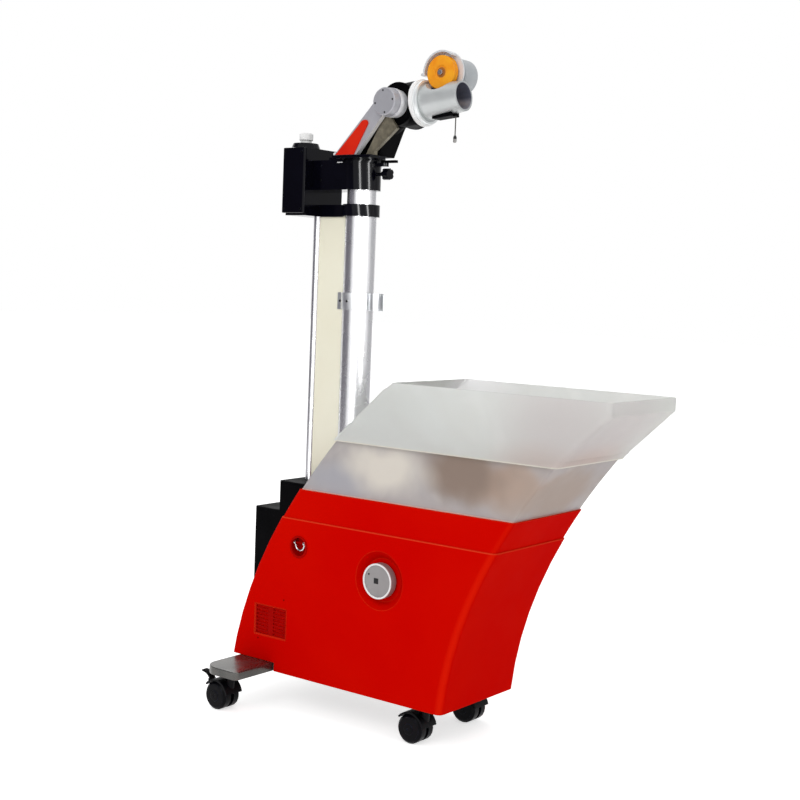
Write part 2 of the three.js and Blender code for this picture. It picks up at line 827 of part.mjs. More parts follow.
piece("dial_knob", dialKnob(), silver);
piece("pull_cup", pullCup(), darkRed);
piece("pull_bail", pullBail(), polished);
piece("vent_grille", ventGrille(), darkRed);

// Ball path inside the body
const bendRadius = bendReach / 2;
const bendCentreX = mastX + bendRadius;
const bowlTop = trayFloor - fit;
const bowlBottom = bowlTop - bowlDepth;
const outletX = mastX + bendReach;
const bendEnd = bowlBottom - fit;
const wheelAxis = [bendCentreX, mastFoot - bendRadius + ballBore - liftWheelBite + liftWheelRadius];

function bendCurve(overrun) {
  const path = new THREE.CurvePath();
  const end = new THREE.Vector3(outletX, 0, bendEnd + overrun);
  path.add(new THREE.LineCurve3(end, new THREE.Vector3(outletX, 0, mastFoot)));
  const count = ballBendSteps / 2;
  const arc = Array.from({ length: count + 1 }, (_, i) => {
    const angle = (-Math.PI * i) / count;
    const [x, z] = [bendRadius * Math.cos(angle), bendRadius * Math.sin(angle)];
    return new THREE.Vector3(bendCentreX + x, 0, mastFoot + z);
  });
  path.add(new THREE.CatmullRomCurve3(arc));
  const foot = new THREE.Vector3(mastX, 0, mastFoot);
  if (overrun) path.add(new THREE.LineCurve3(foot, foot.clone().setZ(mastFoot + overrun)));
  return path;
}

// The bend is moulded as two halves that meet at the machine's middle plane.
function ballBendHalf(side) {
  const outside = pipe(bendCurve(0), ballBore + bendWall, ballBendSteps, roundSides / 4);
  const bore = pipe(bendCurve(cutOverrun), ballBore, ballBendSteps, roundSides / 4);
  const halfSlot = liftWheelWidth / 2 + cutOverrun / 2;
  const slot = rod("y", liftWheelRadius + cutOverrun, [-halfSlot, halfSlot], wheelAxis);
  const otherSide = [(side * fit) / 2, -side * bodyWidth].sort((a, b) => a - b);
  return cut(outside, bore, slot, box([-reach, reach], otherSide, [0, bowlTop]));
}

function liftWheel() {
  const half = liftWheelWidth / 2;
  const edge = liftWheelRadius - treadRound;
  const profile = [[liftShaftRadius, -half], [edge, -half], [liftWheelRadius, 0], [edge, half]];
  return turned("y", [...profile, [liftShaftRadius, half]], wheelAxis);
}

function liftMotor() {
  const face = liftWheelWidth / 2 + fit * 2;
  const can = rod("y", liftMotorRadius, [face, face + liftMotorLength], wheelAxis);
  const shaft = rod("y", liftShaftRadius - fit, [-liftWheelWidth / 2, face + fit], wheelAxis, smallSides);
  const footX = [bendCentreX - liftMotorRadius / 2, bendCentreX + liftMotorRadius / 2];
  const footY = [ballBore + bendWall + cutOverrun, face + liftMotorLength];
  const foot = box(footX, footY, [plateTop, wheelAxis[1]]);
  return join(can, shaft, foot);
}

function feedBowl() {
  const inner = bowlRadius - bowlWall;
  const profile = [
    [spindleRadius + fit, bowlBottom],
    [bowlRadius, bowlBottom],
    [bowlRadius, bowlTop],
    [inner, bowlTop],
    [inner, bowlBottom + bowlWall],
    [spindleRadius + fit, bowlBottom + bowlWall],
  ];
  const outletSpan = [bowlBottom - cutOverrun, bowlBottom + bowlWall + cutOverrun];
  const outlet = rod("z", ballBore, outletSpan, [outletX, 0]);
  return cut(turned("z", profile, [bowlX, 0], fineSides), outlet);
}

// A pocketed disc that carries the balls round to the outlet, with a cone that keeps them off its middle.
function feedTurntable() {
  const low = bowlBottom + bowlWall + fit;
  const high = low + turntableThickness;
  const radius = bowlRadius - bowlWall - turntablePlay;
  const profile = [
    [0, low],
    [radius, low],
    [radius, high],
    [turntableHubRadius, high],
    [spindleRadius, high + turntableHubRise],
    [0, high + turntableHubRise],
  ];
  const pockets = Array.from({ length: turntablePockets }, (_, i) => {
    const angle = Math.PI + (i * 2 * Math.PI) / turntablePockets;
    const centre = [bowlX + pocketReach * Math.cos(angle), pocketReach * Math.sin(angle)];
    return rod("z", ballBore - pocketPlay, [low - cutOverrun, high + cutOverrun], centre, wheelSides);
  });
  const disc = cut(turned("z", profile, [bowlX, 0], fineSides), ...pockets);
  const spindleSpan = [bowlBottom - spindleRadius, low + fit];
  return join(disc, rod("z", spindleRadius - fit, spindleSpan, [bowlX, 0], smallSides));
}

function feedMotor() {
  const top = bowlBottom - fit;
  const can = rod("z", feedMotorRadius, [top - feedMotorLength, top], [bowlX, 0]);
  return cut(can, rod("z", spindleRadius, [top - spindleRadius, top + cutOverrun], [bowlX, 0], smallSides));
}

const socketBottom = mastFoot + socketLift;

function mastSocket() {
  const halfX = socketDepth / 2;
  const halfY = riserRadius + socketWall;
  const xs = [mastX - halfX, mastX + halfX];
  const block = box(xs, [-halfY, halfY], [socketBottom, socketBottom + socketHeight]);
  const legs = [-1, 1].map((side) => {
    const ys = [side * (halfY - socketLegThickness), side * halfY].sort((a, b) => a - b);
    return box(xs, ys, [plateTop, socketBottom + socketHeight / 2]);
  });
  const boreSpan = [plateTop, socketBottom + socketHeight + cutOverrun];
  return cut(join(block, ...legs), rod("z", riserRadius + fit, boreSpan, [mastX, 0]));
}

piece("ball_bend_right", ballBendHalf(-1), whitePlastic);
piece("ball_bend_left", ballBendHalf(1), whitePlastic);
piece("lift_wheel", liftWheel(), blackRubber);
piece("lift_motor", liftMotor(), steel);
piece("feed_bowl", feedBowl(), whitePlastic);
piece("feed_turntable", feedTurntable(), whitePlastic);
piece("feed_motor", feedMotor(), steel);
piece("mast_socket", mastSocket(), castGrey);

// Mast: local origin on the floor on the mast's axis
const mast = new THREE.Group();
mast.position.x = mastX;
root.add(mast);

function tube(outer, wall, [low, high]) {
  return turned("z", [[outer - wall, low], [outer, low], [outer, high], [outer - wall, high]]);
}

function ringClamp() {
  const span = [ringClampBottom, riserTop];
  const ring = tube(riserRadius + fit + ringClampWall, ringClampWall, span);
  const lugRear = -gearboxFrontGap + fit;
  const half = ringClampLugWidth / 2;
  const lug = box([lugRear, -riserRadius - ringClampWall / 2], [-half, half], span);
  return cut(join(ring, lug), rod("z", riserRadius + fit, [span[0] - cutOverrun, span[1] + cutOverrun]));
}

// A steel band round the riser: a screwed tail behind it and an open spring clip in front.
function clipBand() {
  const span = [clipBottom, clipBottom + clipHeight];
  const inner = riserRadius + fit;
  const band = tube(inner + clipWall, clipWall, span);
  const tailX = [-inner - clipTailLength, -inner - clipWall / 2];
  const near = -webThickness / 2 - fit - clipWall;
  const tail = box(tailX, [near, near + clipWall], span);
  const mouthX = inner + clipMouthRadius;
  const mouthRing = tube(clipMouthRadius, clipWall, span).translate([mouthX, 0, 0]);
  const gapHalf = clipMouthGap / 2;
  const mouthGap = box([mouthX, mouthX + clipMouthRadius * 2], [-gapHalf, gapHalf], [0, riserTop]);
  const middle = clipBottom + clipHeight / 2;
  const tailScrewY = [near - clipTailGap / 2, near + clipWall / 2];
  const tailScrewX = -inner - clipTailLength / 2;
  const tailScrew = rod("y", clipScrewRadius, tailScrewY, [tailScrewX, middle], smallSides);
  const bandScrewY = [-inner - clipWall - clipTailGap / 2, -inner];
  const bandScrew = rod("y", clipScrewRadius, bandScrewY, [0, middle], smallSides);
  const whole = join(band, tail, cut(mouthRing, mouthGap), tailScrew, bandScrew);
  return cut(whole, rod("z", inner, [clipBottom - cutOverrun, clipBottom + clipHeight + cutOverrun]));
}

function webPanel() {
  const xs = [-columnBehindMast + columnRadius + fit, -riserRadius - fit * 2];
  const whole = box(xs, [-webThickness / 2, webThickness / 2], [bandTop, ringClampBottom - fit]);
  const notchSpan = [clipBottom - fit, clipBottom + clipHeight + fit];
  return cut(whole, rod("z", riserRadius + clipWall + fit * 2, notchSpan));
}

const riserSpan = [mastFoot + fit, riserTop];
const innerTubeSpan = [riserTop - innerTubeOverlap, collarTop - fit];
const columnSpan = [bandTop, ringClampBottom];
piece("riser_tube", tube(riserRadius, riserWall, riserSpan), silver, mast);
piece("inner_tube", tube(innerTubeRadius, innerTubeWall, innerTubeSpan), silver, mast);
piece("rear_column", rod("z", columnRadius, columnSpan, [-columnBehindMast, 0]), polished, mast);
piece("web_panel", webPanel(), cream, mast);
piece("ring_clamp", ringClamp(), blackGloss, mast);
piece("clip_band", clipBand(), polished, mast);

// Gearbox
const gearboxX = [-gearboxFrontGap - gearboxDepth, -gearboxFrontGap];
const gearboxBottom = ringClampBottom + gearboxPlateThickness;
const gearboxTop = gearboxBottom + gearboxHeight;
const capCentre = [(gearboxX[0] + gearboxX[1]) / 2, -capSideShift];

function gearboxHousing() {
  const half = gearboxWidth / 2;
  const inset = gearboxPlateInset;
  const shape = roundedRectangle(gearboxX, [-half, half], gearboxCorner);
  const housing = flatPlate(shape, [gearboxBottom, gearboxTop], gearboxCorner / 2);
  const plateX = [gearboxX[0] + inset, gearboxX[1]];
  const plate = box(plateX, [inset - half, half - inset], [ringClampBottom, gearboxTop - inset]);
  const capSpan = [gearboxTop - fit, gearboxTop + capThickness];
  const cap = rod("z", capRadius, capSpan, capCentre, roundSides, capRadius - gearboxCorner);
  return join(housing, plate, cap);
}

function capKnob() {
  const low = gearboxTop + capThickness + fit;
  const high = low + capKnobHeight;
  const profile = [
    [0, low],
    [capKnobNeck, low],
    [capKnobNeck, low + capKnobNeckHeight],
    [capKnobRadius, low + capKnobFlareHeight],
    [capKnobRadius, high - capKnobEdge],
    [capKnobRadius - capKnobEdge, high],
    [0, high],
  ];
  return turned("z", profile, capCentre);
}

piece("gearbox_housing", gearboxHousing(), blackGloss, mast);
piece("gearbox_knob", capKnob(), whitePlastic, mast);

// Collar, fixed to the mast and the gearbox
const wingHeight = collarTop - wingDrop;
const lockBossPlace = [lockBossForward, 0];

function collar() {
  const rimZ = collarTop - collarRimHeight;
  const drum = rod("z", collarRadius, [collarBottom, collarTop]);
  const rimRing = rod("z", collarRadius + collarRimProud, [rimZ, collarTop]);
  const half = bracketWidth / 2;
  const bracket = box([-gearboxFrontGap + fit, 0], [-half, half], [collarBottom, collarTop]);
  const lugZ = [rimZ - lockLugThickness, rimZ];
  const lugBar = box([0, lockBossForward], [-lockBossRadius, lockBossRadius], lugZ);
  const lug = join(lugBar, rod("z", lockBossRadius, lugZ, lockBossPlace));
  const bore = rod("z", innerTubeRadius + fit, [collarBottom - cutOverrun, collarTop + cutOverrun]);
  const wingHole = rod("x", wingShankRadius + fit, [0, collarRadius * 2], [0, wingHeight], smallSides);
  return cut(join(drum, rimRing, bracket, lug), bore, wingHole);
}

function wingScrew() {
  const start = innerTubeRadius + fit;
  const knobStart = collarRadius + wingShankLength;
  const shank = rod("x", wingShankRadius, [start, knobStart + fit], [0, wingHeight], smallSides);
  const knob = rod("x", wingKnobRadius, [knobStart, knobStart + wingKnobLength], [0, wingHeight]);
  const fluteSpan = [knobStart - cutOverrun, knobStart + wingKnobLength + cutOverrun];
  const fluteCircle = wingKnobRadius * wingFluteShare;
  const flutes = Array.from({ length: wingFlutes }, (_, i) => {
    const angle = (i * 2 * Math.PI) / wingFlutes;
    const centre = [fluteCircle * Math.cos(angle), wingHeight + fluteCircle * Math.sin(angle)];
    return rod("x", wingShankRadius, fluteSpan, centre, smallSides);
  });
  return join(cut(knob, ...flutes), shank);
}

function lockLever() {
  const low = collarTop - collarRimHeight + fit;
  const span = [low, low + lockLeverThickness];
  const half = lockLeverWidth / 2;
  const arm = box([lockBossForward, lockBossForward + lockLeverLength], [-half, half], span);
  const boss = rod("z", lockBossRadius, span, lockBossPlace, smallSides);
  return join(boss, arm);
}

piece("collar", collar(), blackGloss, mast);
piece("wing_screw", wingScrew(), blackPlastic, mast);
piece("lock_lever", lockLever(), blackPlastic, mast);

// Panning head base: the ring turns on the collar and carries the arm
const ringBottom = collarTop + fit;
const ringTop = ringBottom + panRingThickness;
const armFace = -elbowHalfWidth - armGap;
const armY = [armFace - armThickness, armFace];
const pivot = [pivotForward, pivotHeight];

function panRing() {
  const disc = rod("z", panRingRadius, [ringBottom, ringTop], [0, 0], fineSides);
  const near = -panTabReach;
  const rearSide = [[-panTabRear, 0], [-panTabRear, near]];
  const frontSide = [[panTabFront, near], [panTabFront, -panTabInset], [0, -panTabInset]];
  const tab = flatPlate(shapeOf([...rearSide, ...frontSide]), [ringBottom, ringTop]);
  const leverY = [-panLeverWidth - panLeverWidth / 2, -panLeverWidth / 2];
  const lever = box([-panLeverReach, 0], leverY, [ringBottom, ringTop]);
  return cut(join(disc, tab, lever), rod("z", innerTubeRadius - innerTubeWall, [0, ringTop + cutOverrun]));
}

function ballStud() {
  const neck = ballStudRadius / 2;
  const low = ringTop + fit;
  const high = low + ballStudHeight;
  const [neckTop, widest, shoulder] = ballStudRiseShares.map((share) => low + ballStudHeight * share);
  const profile = [
    [0, low],
    [neck, low],
    [neck, neckTop],
    [ballStudRadius, widest],
    [ballStudRadius, shoulder],
    [neck, high],
    [0, high],
  ];
  return turned("z", profile, [panLeverWidth / 2 - panLeverReach, -panLeverWidth], smallSides);
}

// The arm is a tapered plate from its foot on the pan ring up to a round end on the pivot.
function armOutline() {
  const foot = -armBaseRear;
  const base = ringTop + fit;
  const rise = pivotHeight - base;
  const run = pivotForward - foot;
  const slant = Math.atan2(rise, run) + Math.asin(armEndRadius / Math.hypot(rise, run));
  const touch = [pivot[0] - armEndRadius * Math.sin(slant), pivot[1] + armEndRadius * Math.cos(slant)];
  const frontTop = [pivot[0] - armNeckOffset / 2, pivot[1] - armNeckOffset];
  return [[foot, base], [foot + armBaseWidth, base], frontTop, touch];
}

function pinBore([y0, y1]) {
  return rod("y", pivotPinRadius + fit, [y0 - cutOverrun, y1 + cutOverrun], pivot);
}

function armCheek() {
  const plate = sidePlate(shapeOf(armOutline()), armY);
  return cut(join(plate, rod("y", armEndRadius, armY, pivot)), pinBore(armY));
}

function armInlay() {
  const [foot, heel, , touch] = armOutline();
  const low = foot[1] + fit;
  const high = low + inlayHeight;
  const left = foot[0] + ((touch[0] - foot[0]) * inlayHeight) / (touch[1] - foot[1]) + inlayMargin;
  const right = left + inlayTopWidth;
  const shape = new THREE.Shape();
  shape.moveTo(foot[0] + inlayMargin, low);
  shape.lineTo(heel[0] - inlayMargin, low);
  shape.lineTo(right, high - inlayTopWidth / 2);
  shape.quadraticCurveTo(right, high, left + inlayTopWidth / 2, high);
  shape.quadraticCurveTo(left, high, left - inlayTopWidth / 3, high - inlayTopWidth / 2);
  return sidePlate(shape, [armY[0] - fit - inlayThickness, armY[0] - fit]);
}

// A second cheek leans from the pan ring's tab to just below the pivot drum.
function linkCheek() {
  const near = -elbowHalfWidth - linkGap - linkThickness;
  const foot = [linkBaseFront - linkBaseWidth, ringTop + fit];
  const heel = [linkBaseFront, foot[1] + linkHeelRise];
  const [px, pz] = pivot;
  const nose = [px + linkNoseForward, pz - linkNoseDrop];
  const top = [px - linkNoseForward, pz - pivotCapRadius + linkHeelRise];
  const shape = shapeOf([foot, [heel[0], foot[1]], heel, nose, top, [top[0] - linkTopWidth, top[1]]]);
  const plate = sidePlate(shape, [near, near + linkThickness]);
  return cut(plate, rod("y", pivotCapRadius + fit * 2, [near - cutOverrun, 0], pivot));
}

function pivotCap() {
  const back = armY[0] - fit;
  const front = back - capPlateThickness;
  const edge = pivotCapRadius - pivotCapChamfer;
  const rimProfile = [[edge, front], [pivotCapRadius, front + pivotCapChamfer], [pivotCapRadius, back]];
  const screws = Array.from({ length: capScrews }, (_, i) => {
    const angle = THREE.MathUtils.degToRad(capScrewTurnDegrees) + (2 * Math.PI * i) / capScrews;
    const centre = [pivot[0] + capScrewCircle * Math.cos(angle), pivot[1] + capScrewCircle * Math.sin(angle)];
    return rod("y", capScrewRadius, [front - cutOverrun, front + capScrewDepth], centre, cordSides);
  });
  const bore = pinBore([front + capPlateThickness / 2 + cutOverrun, back]);
  const outside = turned("y", [[0, front], ...rimProfile, [0, back]], pivot, fineSides);
  return cut(outside, bore, ...screws);
}

// The drum carries the pivot pin, which runs out through the arm to the cap and in to the upper elbow.
function pivotDrum() {
  const drum = rod("y", pivotCapRadius, [armY[1] + fit, -elbowHalfWidth - fit], pivot, fineSides);
  const pinSpan = [armY[0] - capPlateThickness / 2 + fit, -ballBore - fit * 2];
  return join(drum, rod("y", pivotPinRadius, pinSpan, pivot));
}

// The lower elbow turns the balls forward to the pivot and ends in a hollow seat round the upper elbow.
const elbowBend = [0, ringTop + lowerElbowRise];
const elbowLean = Math.atan2(pivot[1] - elbowBend[1], pivot[0] - elbowBend[0]);

function elbowTube(radius, base) {
  const length = Math.hypot(pivot[0] - elbowBend[0], pivot[1] - elbowBend[1]);
  const leaningTube = rod("x", radius, [0, length]).rotate([0, -THREE.MathUtils.radToDeg(elbowLean), 0]);
  const ball = solid(new THREE.SphereGeometry(radius, roundSides, roundSides / 2).rotateX(Math.PI / 2));
  const upper = join(leaningTube, ball).translate([elbowBend[0], 0, elbowBend[1]]);
  return join(upper, rod("z", radius, [base, elbowBend[1]]));
}

function lowerElbow() {
  const base = ringTop + fit;
  const foot = rod("z", elbowFootRadius, [base, base + elbowFootHeight]);
  const front = [[0, base], [gussetReach, base], [gussetTopReach, base + gussetHeight], pivot, elbowBend];
  const gusset = sidePlate(shapeOf(front), [-gussetHalfWidth, gussetHalfWidth]);
  const seat = rod("y", elbowRadius + fit * 2, across, pivot, fineSides);
  const below = box([-reach, reach], across, [0, base]);
  const outside = join(elbowTube(lowerElbowRadius, base), foot, gusset);
  return cut(outside, elbowTube(ballBore, ringTop - cutOverrun), seat, below);
}

const headPan = new THREE.Group();
mast.add(headPan);
piece("pan_ring", panRing(), blackGloss, headPan);
piece("ball_stud", ballStud(), whitePlastic, headPan);
piece("arm_cheek", armCheek(), silver, headPan);
piece("arm_inlay", armInlay(), inlayRed, headPan);
piece("link_cheek", linkCheek(), taupe, headPan);
piece("pivot_cap", pivotCap(), silver, headPan);
piece("pivot_drum", pivotDrum(), silver, headPan);
piece("lower_elbow", lowerElbow(), blackGloss, headPan);

// Tilting head: local origin on the pivot, x along the barrel, z square to it
const head = new THREE.Group();
head.position.set(pivot[0], 0, pivot[1]);
head.rotation.y = -THREE.MathUtils.degToRad(restTiltDegrees);
headPan.add(head);

function upperElbow() {
  const sideSpan = [-elbowHalfWidth, elbowHalfWidth];
  const drum = rod("y", elbowRadius, sideSpan, [0, 0], fineSides);
  const neck = rod("x", elbowNeckRadius, [0, flangeSetback], [0, 0], fineSides);
  const inside = box([-elbowRadius, flangeSetback], sideSpan, [-elbowRadius, elbowRadius]);
  const throat = rod("x", ballBore, [0, flangeSetback + cutOverrun]);
  const middle = rod("y", ballBore, [-ballBore, ballBore]);
  const mouth = THREE.MathUtils.radToDeg(elbowLean) - restTiltDegrees - 180;
  const halfMouth = THREE.MathUtils.radToDeg(Math.asin(ballBore / elbowRadius));
  const sweep = [mouth - entryUpDegrees - halfMouth, mouth + entryDownDegrees + halfMouth];
  const entry = sidePlate(ringSector(fit, elbowRadius + cutOverrun, ...sweep), [-ballBore, ballBore]);
  const pinHole = rod("y", pivotPinRadius + fit, [-elbowHalfWidth - cutOverrun, 0]);
  return cut(join(drum, neck).intersect(inside), throat, middle, entry, pinHole);
}

const flangeEnd = flangeSetback + fit + flangeThickness;
const barrelStart = flangeEnd + fit;
const wheelCentre = [wheelForward, wheelRise];
const halfThrow = throwWheelWidth / 2;

function barrelOutside(grow) {
  const step = barrelStart + barrelStepLength;
  const points = [
    [0, barrelStart],
    [barrelStepRadius + grow, barrelStart],
    [barrelStepRadius + grow, step + grow],
    [barrelRootRadius + grow, step + grow],
    [barrelMouthRadius + grow, barrelLength],
    [0, barrelLength],
  ];
  return turned("x", points, [0, 0], fineSides);
}

function barrel() {
  const bore = rod("x", ballBore, [barrelStart - cutOverrun, barrelLength + cutOverrun], [0, 0], fineSides);
  const slotY = [-barrelStepRadius, halfThrow + wheelPlay];
  const slot = rod("y", throwWheelRadius + wheelPlay, slotY, wheelCentre);
  return cut(barrelOutside(0), bore, slot);
}

function throwWheel() {
  const profile = [
    [throwBoltRadius + fit, throwHubDip - halfThrow],
    [throwHubRadius, throwHubDip - halfThrow],
    [throwHubRadius + throwHubDip, -halfThrow],
    [throwWheelRadius - throwTreadDip, -halfThrow],
    [throwWheelRadius, throwTreadDip - halfThrow],
    [throwWheelRadius - throwTreadDip, 0],
    [throwWheelRadius, halfThrow - throwTreadDip],
    [throwWheelRadius - throwTreadDip, halfThrow],
    [throwBoltRadius + fit, halfThrow],
  ];
  return turned("y", profile, wheelCentre, fineSides);
}

const plateY = halfThrow + guardGap;
const neckStart = plateY + guardWall + fit;

function throwBolt() {
  const seat = throwHubDip - halfThrow - fit;
  const head = rod("y", throwNutRadius, [seat - throwNutHeight, seat], wheelCentre, hexSides);
  const shankSpan = [seat - fit, neckStart + motorNeckLength / 2];
  const shank = rod("y", throwBoltRadius, shankSpan, wheelCentre, smallSides);
  return join(head, shank);
}

// The guard is a shallow cup behind the wheel whose rim runs over the wheel's top and rear.
function wheelGuard() {
  const inner = guardRadius - guardWall;
  const back = [plateY, plateY + guardWall];
  const plate = rod("y", guardRadius, back, wheelCentre, fineSides);
  const rimSpan = [-guardFrontLip, plateY + guardWall];
  const rimPart = sidePlate(ringSector(inner, guardRadius, guardRimStart, guardRimEnd, wheelCentre), rimSpan);
  const tabX = wheelForward - guardRadius;
  const tabZ = [wheelRise, wheelRise + guardTabThickness];
  const tab = box([tabX - guardTabLength, tabX + guardWall], rimSpan, tabZ);
  const holeSpan = [plateY - cutOverrun, plateY + guardWall + cutOverrun];
  const shaftHole = rod("y", throwBoltRadius + fit, holeSpan, wheelCentre, smallSides);
  const slotRadius = throwWheelRadius + wheelPlay;
  const open = ringSector(slotRadius, guardRadius + cutOverrun, guardRimEnd, guardOpenEnd, wheelCentre);
  return cut(join(plate, rimPart, tab), shaftHole, sidePlate(open, holeSpan), barrelOutside(fit));
}

function throwMotor() {
  const canStart = neckStart + motorNeckLength;
  const end = canStart + motorLength;
  const profile = [
    [0, neckStart],
    [motorNeckRadius, neckStart],
    [motorNeckRadius, canStart],
    [motorRadius - motorChamfer, canStart],
    [motorRadius, canStart + motorChamfer],
    [motorRadius, end - motorChamfer],
    [motorRadius - motorChamfer, end],
    [0, end],
  ];
  const holeSpan = [neckStart - cutOverrun, neckStart + motorNeckLength / 2 + fit];
  const shaftHole = rod("y", throwBoltRadius + fit, holeSpan, wheelCentre, smallSides);
  return cut(turned("y", profile, wheelCentre, fineSides), shaftHole);
}

const cordX = brakeBlockSetback + brakeBlockLength + cordGlandRadius / 2;
const blockBottom = -barrelRootRadius - brakeBlockDrop / 2;

function brakeBlock() {
  const half = brakeBlockWidth / 2;
  const xs = [brakeBlockSetback, brakeBlockSetback + brakeBlockLength];
  const block = box(xs, [-half, half], [blockBottom, -ballBore]);
  const glandSpan = [blockBottom, blockBottom + cordGlandLength];
  const gland = rod("z", cordGlandRadius, glandSpan, [cordX, 0], smallSides);
  return cut(join(block, gland), barrelOutside(fit), rod("x", barrelMouthRadius, [0, barrelLength]));
}

piece("upper_elbow", upperElbow(), blackGloss, head);
const flangeSpan = [flangeSetback + fit, flangeEnd];
const flangeDisc = rod("x", flangeRadius, flangeSpan, [0, 0], fineSides);
const flange = cut(flangeDisc, rod("x", ballBore, [0, barrelLength]));
piece("barrel_flange", flange, whitePlastic, head);
piece("barrel", barrel(), silver, head);
piece("throw_wheel", throwWheel(), wheelOrange, head);
piece("throw_bolt", throwBolt(), steel, head);
piece("wheel_guard", wheelGuard(), silver, head);
piece("throw_motor", throwMotor(), silver, head);
piece("brake_block", brakeBlock(), blackPlastic, head);

// A short lead hangs straight down from its gland under the barrel.
const lead = new THREE.Group();
const tilt = THREE.MathUtils.degToRad(restTiltDegrees);
const leadX = cordX * Math.cos(tilt) - blockBottom * Math.sin(tilt);
const leadTop = cordX * Math.sin(tilt) + blockBottom * Math.cos(tilt) - fit * 2;
lead.position.set(pivot[0] + leadX, 0, pivot[1] + leadTop);
headPan.add(lead);
piece("lead", rod("z", cordRadius, [-cordLength, 0], [0, 0], cordSides), blackRubber, lead);
const tipTop = -cordLength - fit;
const tipEnd = tipTop - tipLength;
const tipProfile = [
  [0, tipTop],
  [tipNeckRadius, tipTop],
  [tipRadius, tipTop - tipShoulder],
  [tipRadius, tipEnd + tipRound],
  [tipNeckRadius, tipEnd],
  [0, tipEnd],
];
piece("lead_tip", turned("z", tipProfile, [0, 0], smallSides), polished, lead);

// The origin is moved to the middle of the footprint's box, on the floor.
root.updateMatrixWorld(true);
const bounds = new THREE.Box3().setFromObject(root, true);
root.position.x = -(bounds.min.x + bounds.max.x) / 2;
root.updateMatrixWorld(true);

const group = new THREE.Group();
group.add(root);

export default group;
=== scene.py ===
# The looks of a table tennis robot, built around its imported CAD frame.
# Metres, +Z up, +X the way the balls fly.
import math

import bmesh
import bpy
from mathutils import Matrix, Vector


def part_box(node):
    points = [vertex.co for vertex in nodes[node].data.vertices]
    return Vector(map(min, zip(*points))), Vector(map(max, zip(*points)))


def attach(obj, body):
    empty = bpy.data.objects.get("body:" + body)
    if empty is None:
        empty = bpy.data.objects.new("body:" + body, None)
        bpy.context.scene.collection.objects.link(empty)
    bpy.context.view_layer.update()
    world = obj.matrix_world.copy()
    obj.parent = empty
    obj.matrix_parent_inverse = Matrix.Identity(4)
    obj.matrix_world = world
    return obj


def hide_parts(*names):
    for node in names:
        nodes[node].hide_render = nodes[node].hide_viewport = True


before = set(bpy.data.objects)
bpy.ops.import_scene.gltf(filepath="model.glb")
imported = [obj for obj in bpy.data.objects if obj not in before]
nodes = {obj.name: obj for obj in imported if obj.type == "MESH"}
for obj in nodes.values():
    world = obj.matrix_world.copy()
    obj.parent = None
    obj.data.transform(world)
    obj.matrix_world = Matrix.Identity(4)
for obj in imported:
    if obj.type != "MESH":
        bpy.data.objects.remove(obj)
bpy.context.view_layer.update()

WHITE = (1, 1, 1, 1)
BLACK = (0, 0, 0, 1)

# The photograph's view
VIEW_PLACE = (1.3448, -1.893, 0.758)
VIEW_YAW = math.radians(-37.23)
VIEW_PITCH = math.radians(4.72)
VIEW_ROLL = math.radians(2.28)
VIEW_FOCAL_SHARE = 1370.2 / 800
SENSOR_MM = 36

# Light: each lamp's name, place, size and power, and each card's name, place and glow
MAST_X = -0.196
WORLD_STRENGTH = 0.66
LAMP_AIM = (0, 0, 0.5)
LAMPS = (
    ("key", (0.6, -3.0, 2.6), 2.2, 30),
    ("fill", (3.2, -0.6, 1.6), 2.4, 9),
    ("rim", (-2.4, 1.6, 2.4), 1.6, 12),
)
STRIP_AIM = (MAST_X, 0, 1.0)
STRIP_WIDTH = 0.5
STRIP_HEIGHT = 2.2
STRIP_POWER = 90
STRIPS = (
    ("strip_left", (0.986, -2.757, 1.2)),
    ("strip_right", (2.75, -0.562, 1.2)),
)
STRIP_LIT = (
    "riser_tube", "inner_tube", "rear_column", "clip_band", "collar", "ring_clamp", "pan_ring",
    "barrel_flange",
)
CARD_SIDE = 3.4
CARDS = (
    ("card_left", (-2.3, -1.6, 1.5), (0.13, 0.12, 0.15, 1)),
    ("card_right", (0.9, 2.7, 1.5), (0.6, 0.6, 0.61, 1)),
)
FLOOR_SIDE = 40
FLOOR_COLOUR = (0.94, 0.94, 0.94, 1)
FLOOR_ROUGHNESS = 0.9
FLOOR_GLOW = 0.6

# The lead under the barrel
LEAD_TOP = (-0.0002, 0.0, 1.0447)
LEAD_LENGTH = 0.031
LEAD_DIAMETER = 0.002
LEAD_POINTS = 16

# Smoothing
SMOOTH_GROUP = "smooth_by_angle"
WELD_DISTANCE = 0.00002
SHARP_ANGLE = math.radians(32)
EDGE_ROUND = 0.0008
SHELL_ROUND = 0.0022
TUBE_ROUND = 0.0002

# Dial on the near side
DIAL_CENTRE = (-0.03921, 0.267)
DIAL_FACE = -0.114
DIAL_RIM = (DIAL_FACE - 0.01, DIAL_FACE - 0.0003)
DIAL_RIM_SOFT = 0.0002
DIAL_GRIP = 0.027
DIAL_MARK_SIZE = 0.0095
DIAL_MARK_SHIFT = 0.003
DIAL_MARK_RISE = 0.0003
DIAL_MARK_SINK = 0.0002
DIAL_MARK_ROUND = 0.0002
DIAL_DOT_PLACE = (-0.7 * DIAL_GRIP, 0.35 * DIAL_GRIP)
DIAL_DOT_SINK = 0.0003
DIAL_DOT_SIDES = 16
DIAL_DOT_PROFILE = ((0.0016, 0), (0.0016, 0.0004), (0.0012, 0.0006))

